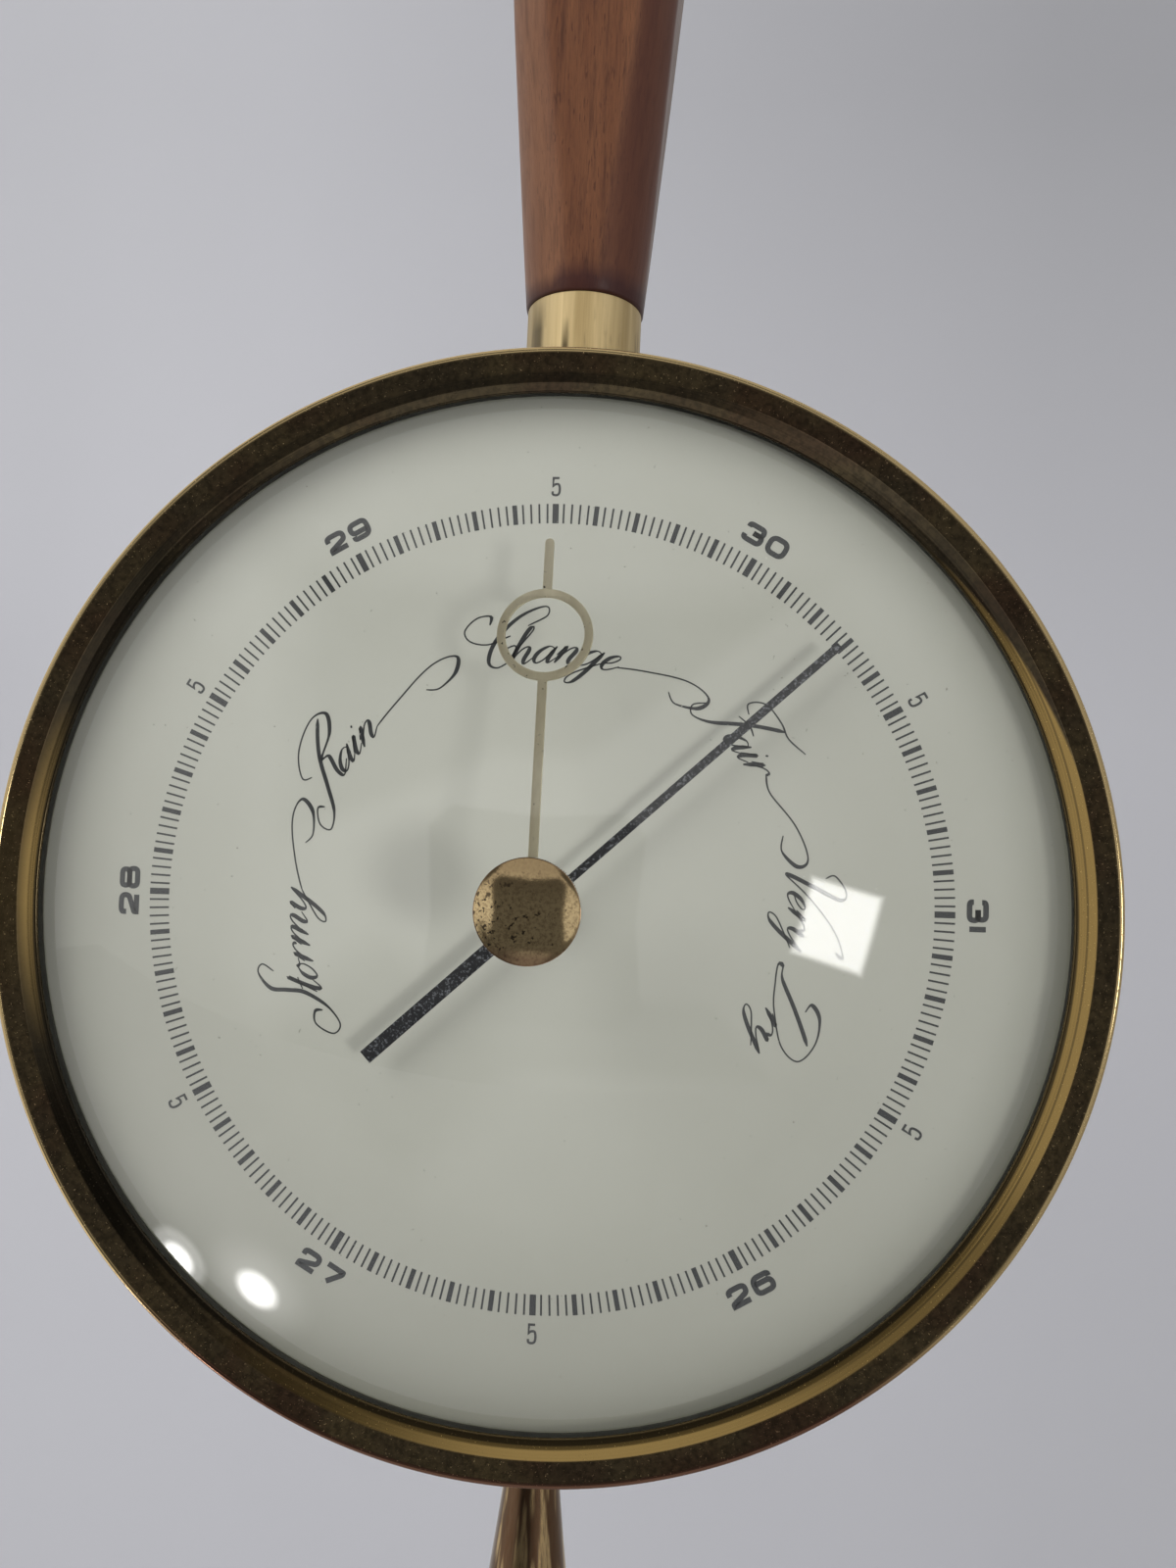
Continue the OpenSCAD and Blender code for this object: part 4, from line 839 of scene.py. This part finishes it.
# Strokes of the figures in a box 1 wide and 1 high; the third value rounds that corner.
figures = {
    "0": [[(0, 0, .42), (1, 0, .42), (1, 1, .42), (0, 1, .42), "closed"]],
    "1": [[(.5, 1, 0), (.5, 0, 0)]],
    "2": [[(.02, .66, 0), (.02, 1, .34), (.98, 1, .38), (.98, .52, .2), (.02, .14, .06),
           (.02, 0, 0), (1, 0, 0)]],
    "3": [[(.02, .76, 0), (.02, 1, .24), (.96, 1, .26), (.96, .52, .2), (.42, .52, 0)],
          [(.42, .52, 0), (1, .52, .22), (1, 0, .3), (0, 0, .28), (0, .26, 0)]],
    "5": [[(.92, 1, 0), (.1, 1, 0), (.04, .52, 0), (.3, .64, .1), (1, .66, .34), (1, 0, .36),
           (0, 0, .32), (0, .22, 0)]],
    "6": [[(.96, .76, 0), (.96, 1, .26), (0, 1, .42), (0, 0, .34), (1, 0, .32), (1, .6, .3),
           (.04, .6, .16)]],
    "7": [[(0, 1, 0), (1, 1, .02), (1, .86, .1), (.38, 0, 0)]],
    "8": [[(.04, .53, .26), (.96, .53, .26), (.96, 1, .24), (.04, 1, .24), "closed"],
          [(0, 0, .28), (1, 0, .28), (1, .53, .26), (0, .53, .26), "closed"]],
    "9": [[(.04, .24, 0), (.04, 0, .26), (1, 0, .42), (1, 1, .34), (0, 1, .32), (0, .4, .3),
           (.96, .4, .16)]],
}


# Corners become short quarter curves.
def roundPath(corners, closed, wide, tall):
    spots = [Vector((c[0] * wide, c[1] * tall)) for c in corners]
    path = []
    for i, spot in enumerate(spots):
        rounding = corners[i][2] * tall
        if rounding < 0.01 or (not closed and i in (0, len(spots) - 1)):
            path.append(spot)
            continue
        start, end = (spot + way.normalized() * min(rounding, way.length * 0.499)
                      for way in (spots[i - 1] - spot, spots[(i + 1) % len(spots)] - spot))
        for t in (k / 8 for k in range(9)):
            path.append(start * (1 - t) ** 2 + spot * 2 * t * (1 - t) + end * t * t)
    return path


numerals = {
    "large": {"r": 57.55, "tall": 2.85, "wide": 3.12, "gap": 0.46, "line": 0.73},
    "small": {"r": 57.05, "tall": 2.70, "wide": 1.30, "gap": 0.0, "line": 0.32},
}


def inkFigures(bm, text, clockwise, size):
    n = SimpleNamespace(**numerals[size])
    wides = [n.line if figure == "1" else n.wide for figure in text]
    centre = Vector(polar(n.r, clockwise))
    flip = -1 if 120 <= clockwise <= 240 else 1  # the lower ones stand upright too
    right, up = (Vector(polar(flip, clockwise + more)) for more in (90, 0))
    x0 = (n.line - sum(wides) - (len(text) - 1) * n.gap) / 2
    for figure, own in zip(text, wides):
        for stroke in figures[figure]:
            closed = stroke[-1] == "closed"
            tall = n.tall - n.line
            path = roundPath(stroke[:-1] if closed else stroke, closed, own - n.line, tall)
            spots = [centre + right * (p.x + x0) + up * (p.y - tall / 2) for p in path]
            inkLine(bm, spots, [n.line] * len(spots), closed)
        x0 += own + n.gap


def makeNumbers():
    bm = bmesh.new()
    for step in range(12):
        if step % 2:
            inkFigures(bm, str(26 + (step - 5) // 2 % 6), 30 * step, "large")
        else:
            inkFigures(bm, "5", 30 * step, "small")
    makePiece("scaleNumbers", bm, "housing", "dial_paint", finish="ink")


bowl = [(.82, .86), (.5, 1), (.16, .7), (.08, .28), (.3, 0), (.62, .22), (.84, .9)]
stem = [(-.04, .5), (.16, 1), (.1, 0)]
tail = [(.78, -.3), (.5, -1.05), (.12, -1.1), (.1, -.7), (.6, -.2)]

# A slanted writing hand, each stroke a smooth line through its points. Small letters are 1 high.
letters = {
    "a": (1.15, [bowl, [(.86, 1), (.8, .3), (.92, 0), (1.18, .32)]]),
    "e": (0.85, [[(.06, .36), (.42, .5), (.6, .82), (.44, 1), (.16, .78), (.08, .3), (.3, 0),
                  (.6, .1), (.88, .4)]]),
    "g": (1.15, [bowl, [(.86, 1), *tail, (1.18, .32)]]),
    "h": (1.2, [[(-.04, .3), (.3, 1.4), (.42, 2), (.3, 2.2), (.18, 1.8), (.12, 0)],
                [(.14, .3), (.42, .88), (.68, 1), (.8, .76), (.76, .25), (.9, 0), (1.2, .32)]]),
    "i": (0.56, [[(-.04, .3), (.2, .98), (.12, .26), (.26, 0), (.56, .32)],
                 [(.24, 1.5), (.22, 1.38)]]),
    "m": (1.7, [stem, [(.12, .3), (.4, .9), (.6, 1), (.7, .8), (.66, 0)],
                [(.68, .3), (.96, .9), (1.16, 1), (1.28, .78), (1.24, .25), (1.38, 0),
                 (1.68, .32)]]),
    "n": (1.15, [stem, [(.12, .3), (.4, .9), (.62, 1), (.74, .78), (.7, .25), (.84, 0),
                        (1.14, .32)]]),
    "o": (0.92, [[(.5, 1), (.18, .8), (.06, .36), (.26, 0), (.58, .18), (.7, .62), (.52, 1),
                  (.6, .84), (.92, .86)]]),
    "r": (0.82, [stem, [(.12, .35), (.36, .88), (.58, 1.02), (.72, .9), (.7, .8)]]),
    "t": (0.62, [[(-.04, .3), (.3, 1.3), (.34, 1.7), (.16, .3), (.28, 0), (.58, .32)],
                 [(-.06, 1.08), (.5, 1.16)]]),
    "y": (1.1, [[(-.04, .7), (.12, 1), (.14, .35), (.34, .04), (.6, .3), (.8, .9)],
                [(.84, 1), (.76, -.3), *tail[1:], (1.1, .32)]]),
    "S": (1.75, [[(1.62, 1.75), (1.7, 2.15), (1.36, 2.4), (1.0, 2.05), (1.12, 1.4), (1.2, .7),
                  (.8, .05), (.1, -.1), (-.3, .35), (.05, .8), (.55, .6), (.62, .3)]]),
    "R": (1.75, [[(1.15, 2.35), (.78, 1.4), (.55, .4), (.2, -.35), (-.4, -.5), (-.62, 0),
                  (-.3, .35), (-.02, .1)],
                 [(.15, 1.15), (-.2, 1.5), (.1, 2.2), (.9, 2.55), (1.5, 2.2), (1.42, 1.55),
                  (.82, 1.2), (1.12, 1.0), (1.2, .35), (1.4, 0), (1.75, .32)]]),
    "C": (1.7, [[(.95, 1.25), (.3, 1.05), (-.4, 1.35), (-.75, 1.85), (-.5, 2.25), (-.05, 2.2),
                 (.05, 1.85)],
                [(1.35, 1.6), (1.75, 2.0), (1.5, 2.4), (.9, 2.0), (.5, 1.1), (.55, .3),
                 (1.0, 0), (1.4, .3), (1.3, .8), (.95, .7)]]),
    "F": (1.5, [[(1.25, 2.2), (.9, 1.2), (.5, .2), (-.05, -.1), (-.45, .25), (-.3, .7)],
                [(.5, 1.5), (.1, 1.8), (.2, 2.3), (.9, 2.3), (1.5, 2.15), (2.0, 2.4)],
                [(.5, 1.15), (.95, 1.2), (1.35, 1.05)]]),
    "V": (1.35, [[(.0, 1.6), (-.25, 2.0), (.05, 2.4), (.4, 2.1), (.5, 1.0), (.55, 0), (.95, .9),
                  (1.45, 2.0), (1.9, 2.4), (1.95, 2.05)]]),
    "D": (1.95, [[(.95, 2.2), (.7, 1.2), (.35, .25), (-.05, .1), (.05, -.1), (.6, -.02),
                  (1.3, .3), (1.8, 1.2), (1.5, 2.15), (.7, 2.45), (.1, 2.2), (.05, 1.7),
                  (.4, 1.55)]]),
}
words = {"r": 32.7, "size": 2.28, "wide": 1.17, "capital": 1.42, "capitalWide": 1.1, "slant": 0.6,
         "thick": 0.57, "thin": 0.21, "fine": 0.09,
         "list": [("Stormy", -122.5), ("Rain", -68.5), ("Change", -19.5), ("Fair", 37.5),
                  ("Very", 78.0), ("Dry", 103.0)]}
# The line that ends a word: (letters on, letters up) from the word's end, in the same units.
scrolls = {
    "Stormy": [(0, .32), (1.2, 1.0), (2.6, 1.75), (3.6, 1.6), (3.7, .7), (2.9, .25), (2.2, .55)],
    "Rain": [(0, .32), (1.6, .75), (3.4, 1.5), (4.6, 1.35), (4.7, .45), (3.9, .0), (3.1, .3)],
    "Change": [(0, .32), (1.4, .75), (3.0, 1.35), (4.2, 1.2), (4.5, .35), (3.7, -.2), (2.9, .2)],
    "Fair": [(-.1, .8), (1.0, .5), (2.6, 1.2), (4.0, 1.4), (4.6, .7), (4.1, .0), (3.2, .3)],
}


def smoothPath(points, fine):
    path = []
    ends = [points[0]] + list(points) + [points[-1]]
    for i in range(1, len(ends) - 2):
        p0, p1, p2, p3 = (Vector(ends[i + k - 1]) for k in range(4))
        steps = max(3, int((p2 - p1).length / fine))
        for t in (k / steps for k in range(steps)):
            path.append(0.5 * ((2 * p1) + (p2 - p0) * t + (2 * p0 - 5 * p1 + 4 * p2 - p3) * t * t
                               + (3 * p1 - p0 - 3 * p2 + p3) * t ** 3))
    return path + [Vector(ends[-2])]


# Strokes swell on the way down and run out thin.
def writeStroke(bm, points, along, start):
    w = SimpleNamespace(**words)
    path = smoothPath(points, w.fine)
    spots, widths = [], []
    for i, p in enumerate(path):
        step = path[min(i + 1, len(path) - 1)] - path[max(i - 1, 0)]
        fall = max(0.0, -step.y / max(step.length, 1e-9))
        ends = min(1.0, (min(i, len(path) - 1 - i) + 1) / 5)
        widths.append((w.thin + (w.thick - w.thin) * fall ** 2 * ends) * (0.6 + 0.4 * ends))
        x = (p.x * w.wide + along + p.y * w.slant) * w.size
        spots.append(polar(w.r + p.y * w.size, start + math.degrees(x / w.r)))
    inkLine(bm, spots, widths)


def makeWords():
    bm = bmesh.new()
    for word, start in words["list"]:
        along = 0.0
        for letter in word:
            advance, strokes = letters[letter]
            large = letter.isupper()
            grown, wider = (words["capital"], words["capitalWide"]) if large else (1.0, 1.0)
            for points in strokes:
                writeStroke(bm, [(x * grown, y * grown) for x, y in points], along, start)
            along += advance * words["wide"] * wider
        if word in scrolls:
            writeStroke(bm, scrolls[word], along, start)
    makePiece("weatherWords", bm, "housing", "dial_paint", finish="ink")


makeTicks()
makeNumbers()
makeWords()
print("dial printed")

cameraPlace = {"at": (0.01525, -0.20020, 0.00867), "right": (0.99718, 0.0605, 0.04461),
               "up": (-0.04152, -0.0507, 0.99783), "forward": (-0.06265, 0.9969, 0.04811),
               "lens": 27.0, "sensor": 36.0, "pixels": (1200, 1600)}


def makeCamera():
    c = SimpleNamespace(**cameraPlace)
    data = bpy.data.cameras.new("frontCamera")
    data.lens, data.sensor_width, data.sensor_fit = c.lens, c.sensor, "AUTO"
    data.clip_start, data.clip_end = 0.005, 20.0
    camera = bpy.data.objects.new("frontCamera", data)
    turned = Matrix((c.right, c.up, -Vector(c.forward))).transposed()
    camera.matrix_world = Matrix.Translation(c.at) @ turned.to_quaternion().to_matrix().to_4x4()
    bpy.context.scene.collection.objects.link(camera)
    bpy.context.scene.camera = camera


# Metres; right, top and corner say how much painted shade darkens the backdrop there.
stageSet = {"wall": 0.7, "floor": -1.6, "half": 3.0, "wide": 9.0, "bend": 0.4,
            "colour": (0.588, 0.591, 0.630), "right": 0.10, "top": 0.10, "corner": 0.12}


# Wall and floor meet in a sweep; from behind it is clear, so the back can be seen too.
def makeStage():
    s = SimpleNamespace(**stageSet)
    sweep = arcPoints(s.wall - s.bend, s.floor + s.bend, s.bend, -90, 0, 9)
    line = [(-s.half, s.floor)] + sweep + [(s.wall, s.half)]
    bm = bmesh.new()
    rows = [[bm.verts.new((x, y, z)) for x in (-s.wide, s.wide)] for y, z in line]
    for low, high in zip(rows, rows[1:]):
        bm.faces.new(low + high[::-1])
    backdrop = addObject("backdrop", bm, outward=False)
    backdrop.data.shade_smooth()
    paper, tree = startFinish("backdropPaper", Roughness=0.9)
    across = coordinate(tree, "Object", "X").spread(-0.3, 0.3)
    upward = coordinate(tree, "Object", "Z").spread(0.1, 0.6)
    # painted shade: the backdrop is darker towards the right and the top
    darker = across * s.right + upward * s.top + across * upward * s.corner
    tone = layered([v * 0.985 for v in s.colour], (grains(tree, 160, 3.0, 0.5).over(), s.colour),
                   (darker, (0.0, 0.0, 0.0)))
    clearWhere(tree, addNode(tree, "ShaderNodeNewGeometry", output="Backfacing"))
    backdrop.data.materials.append(endFinish(paper, tone))
    backdrop.visible_glossy = False


# The direction in which the dome mirrors what the camera sees at a pixel of the photograph.
def mirroredAt(pixel):
    c = SimpleNamespace(**cameraPlace)
    wide, tall = c.pixels
    ray = (Vector(c.forward) * c.lens / c.sensor * tall + Vector(c.right) * (pixel[0] - wide / 2)
           + Vector(c.up) * (tall / 2 - pixel[1])).normalized()
    start = Vector(c.at) - atWall(0, 0, glassDome["centre"])
    r = glassDome["outerR"] * mm
    half = start.dot(ray)
    reach = -half - math.sqrt(half * half - start.length_squared + r * r)
    normal = (start + ray * reach).normalized()
    return (ray - 2 * ray.dot(normal) * normal).normalized()


lamps = {
    "windowLight": {"toward": (0.60, -0.78, -0.13), "far": 1.3, "size": 0.26, "power": 3.8},
    "skyLight": {"toward": (-0.62, -0.62, 0.48), "far": 1.6, "size": 1.3, "power": 17.5},
}


# Lamps that light the piece without being mirrored in it.
def makeLamps():
    for name, lamp in lamps.items():
        away = Vector(lamp["toward"]).normalized()
        data = bpy.data.lights.new(name, "AREA")
        data.shape, data.size, data.energy = "DISK", lamp["size"], lamp["power"]
        light = bpy.data.objects.new(name, data)
        light.matrix_world = (Matrix.Translation(away * lamp["far"])
                              @ (-away).to_track_quat("-Z", "Y").to_matrix().to_4x4())
        light.visible_camera = light.visible_glossy = light.visible_transmission = False
        bpy.context.scene.collection.objects.link(light)


# Bright things in the room, placed where the dome mirrors them into the camera.
# The one with a roll is square.
glows = {
    "window": {"pixel": (856, 945), "half": 0.082, "soft": 0.018, "bright": 8.2, "roll": 14},
    "roundLamp": {"pixel": (262, 1316), "half": 0.026, "soft": 0.030, "bright": 20.0},
    "roundHalo": {"pixel": (262, 1312), "half": 0.03, "soft": 0.11, "bright": 2.6},
    "edgeLamp": {"pixel": (182, 1284), "half": 0.024, "soft": 0.02, "bright": 14.0},
    "edgeHalo": {"pixel": (182, 1282), "half": 0.052, "soft": 0.02, "bright": 3.0},
    "haze": {"pixel": (165, 1215), "half": 0.0, "soft": 0.50, "bright": 0.8},
}


def addGlow(tree, glow):
    away = mirroredAt(glow["pixel"])
    spin = math.radians(glow.get("roll", 0))
    right = away.cross(Vector((0, 0, 1))).normalized()
    up = right.cross(away)
    spun = (right * math.cos(spin) + up * math.sin(spin),
            up * math.cos(spin) - right * math.sin(spin))
    way = addNode(tree, "ShaderNodeTexCoord", output="Generated")
    across, upward, ahead = (
        addNode(tree, "ShaderNodeVectorMath", {0: way, 1: axis}, "Value", operation="DOT_PRODUCT")
        for axis in (*spun, away))
    reach = abs(across).most(abs(upward)) if "roll" in glow else far(across, upward)
    half, soft = glow["half"], glow["soft"]
    lit = reach.spread(half - 0.2 * soft, half + soft, glow["bright"], 0.0, "SMOOTHSTEP")
    return lit * ahead.sums("GREATER_THAN")


room = {"seen": (0.485, 0.485, 0.530), "tint": (1.0, 0.99, 0.97), "around": 0.60, "above": 1.15,
        "left": 0.32, "soft": 0.03,
        "beam": 0.15, "beamFrom": 0.31, "beamTo": 0.62, "beamHalf": 0.62,
        "bar": 0.08, "barWide": (0.24, 0.40), "barFrom": (-0.62, -0.50), "barTo": (-1.1, -0.95),
        "dim": 0.11, "dimAt": (-0.095, -0.080), "dimHalf": (0.240, 0.250), "hollow": 0.08,
        "rounded": 0.735, "wedge": 0.24, "wedgeHalf": (0.12, 0.16), "wedgeGrows": 0.75,
        "wedgeTop": (-0.28, -0.24), "wedgeFoot": (-0.45, -0.41)}


# Soft light from all round. In front there are dark shapes, which glass, ring and knob mirror:
# a beam across the top, a square in the middle, a wedge below it and a bar to the lower left.
def makeRoom():
    r = SimpleNamespace(**room)
    world = bpy.data.worlds.new("room")
    bpy.context.scene.world = world
    world.use_nodes = True
    tree = world.node_tree
    x, y, z = (coordinate(tree, "Generated", axis) for axis in "XYZ")
    level = z.spread(-1.0, 1.0, 2 - r.above, r.above) * r.around
    level = level * x.spread(-1.0, 1.0, 1 + r.left, 1 - r.left)

    foot = x.most() * 0.75 + r.beamFrom - (x * -1.0 - 0.2).most() * 0.5
    beam = ((z - foot).spread(-r.soft, r.soft) * z.fade(r.beamTo, r.beamTo + 3 * r.soft)
            * abs(x).fade(r.beamHalf - r.soft, r.beamHalf + 3 * r.soft))
    bar = abs(x - z).fade(*r.barWide) * (x + z).fade(*r.barFrom) * (x + z).spread(*r.barTo)
    # sides a little hollow, corners rounded
    across, upward = (abs(part - at) for part, at in zip((x, z), r.dimAt))
    hollow = across.most(upward) - across.sums("MINIMUM", upward) * r.hollow
    square = hollow.most(far(across, upward) * r.rounded).fade(*r.dimHalf)
    wedge = ((abs(x) + z * r.wedgeGrows).fade(*r.wedgeHalf)
             * z.fade(*r.wedgeTop) * z.spread(*r.wedgeFoot))

    front = y.sums("LESS_THAN")
    for share, value in ((beam, r.beam), (wedge, r.wedge), (bar, r.bar), (square, r.dim)):
        parts = {0: share * front, 2: level, 3: value}
        level = addNode(tree, "ShaderNodeMix", parts, data_type="FLOAT")
    for glow in glows.values():
        level = level + addGlow(tree, glow)
    light, seen = (
        addNode(tree, "ShaderNodeBackground", {"Color": (*colour, 1), "Strength": strength})
        for colour, strength in ((r.tint, level), (r.seen, 1.0)))
    straight = addNode(tree, "ShaderNodeLightPath", output="Is Camera Ray")
    mixShaders(tree, straight, light, seen, "World Output")


makeCamera()
makeStage()
makeLamps()
makeRoom()
bpy.context.scene.view_settings.view_transform = "Standard"
print("camera, stage and light made")
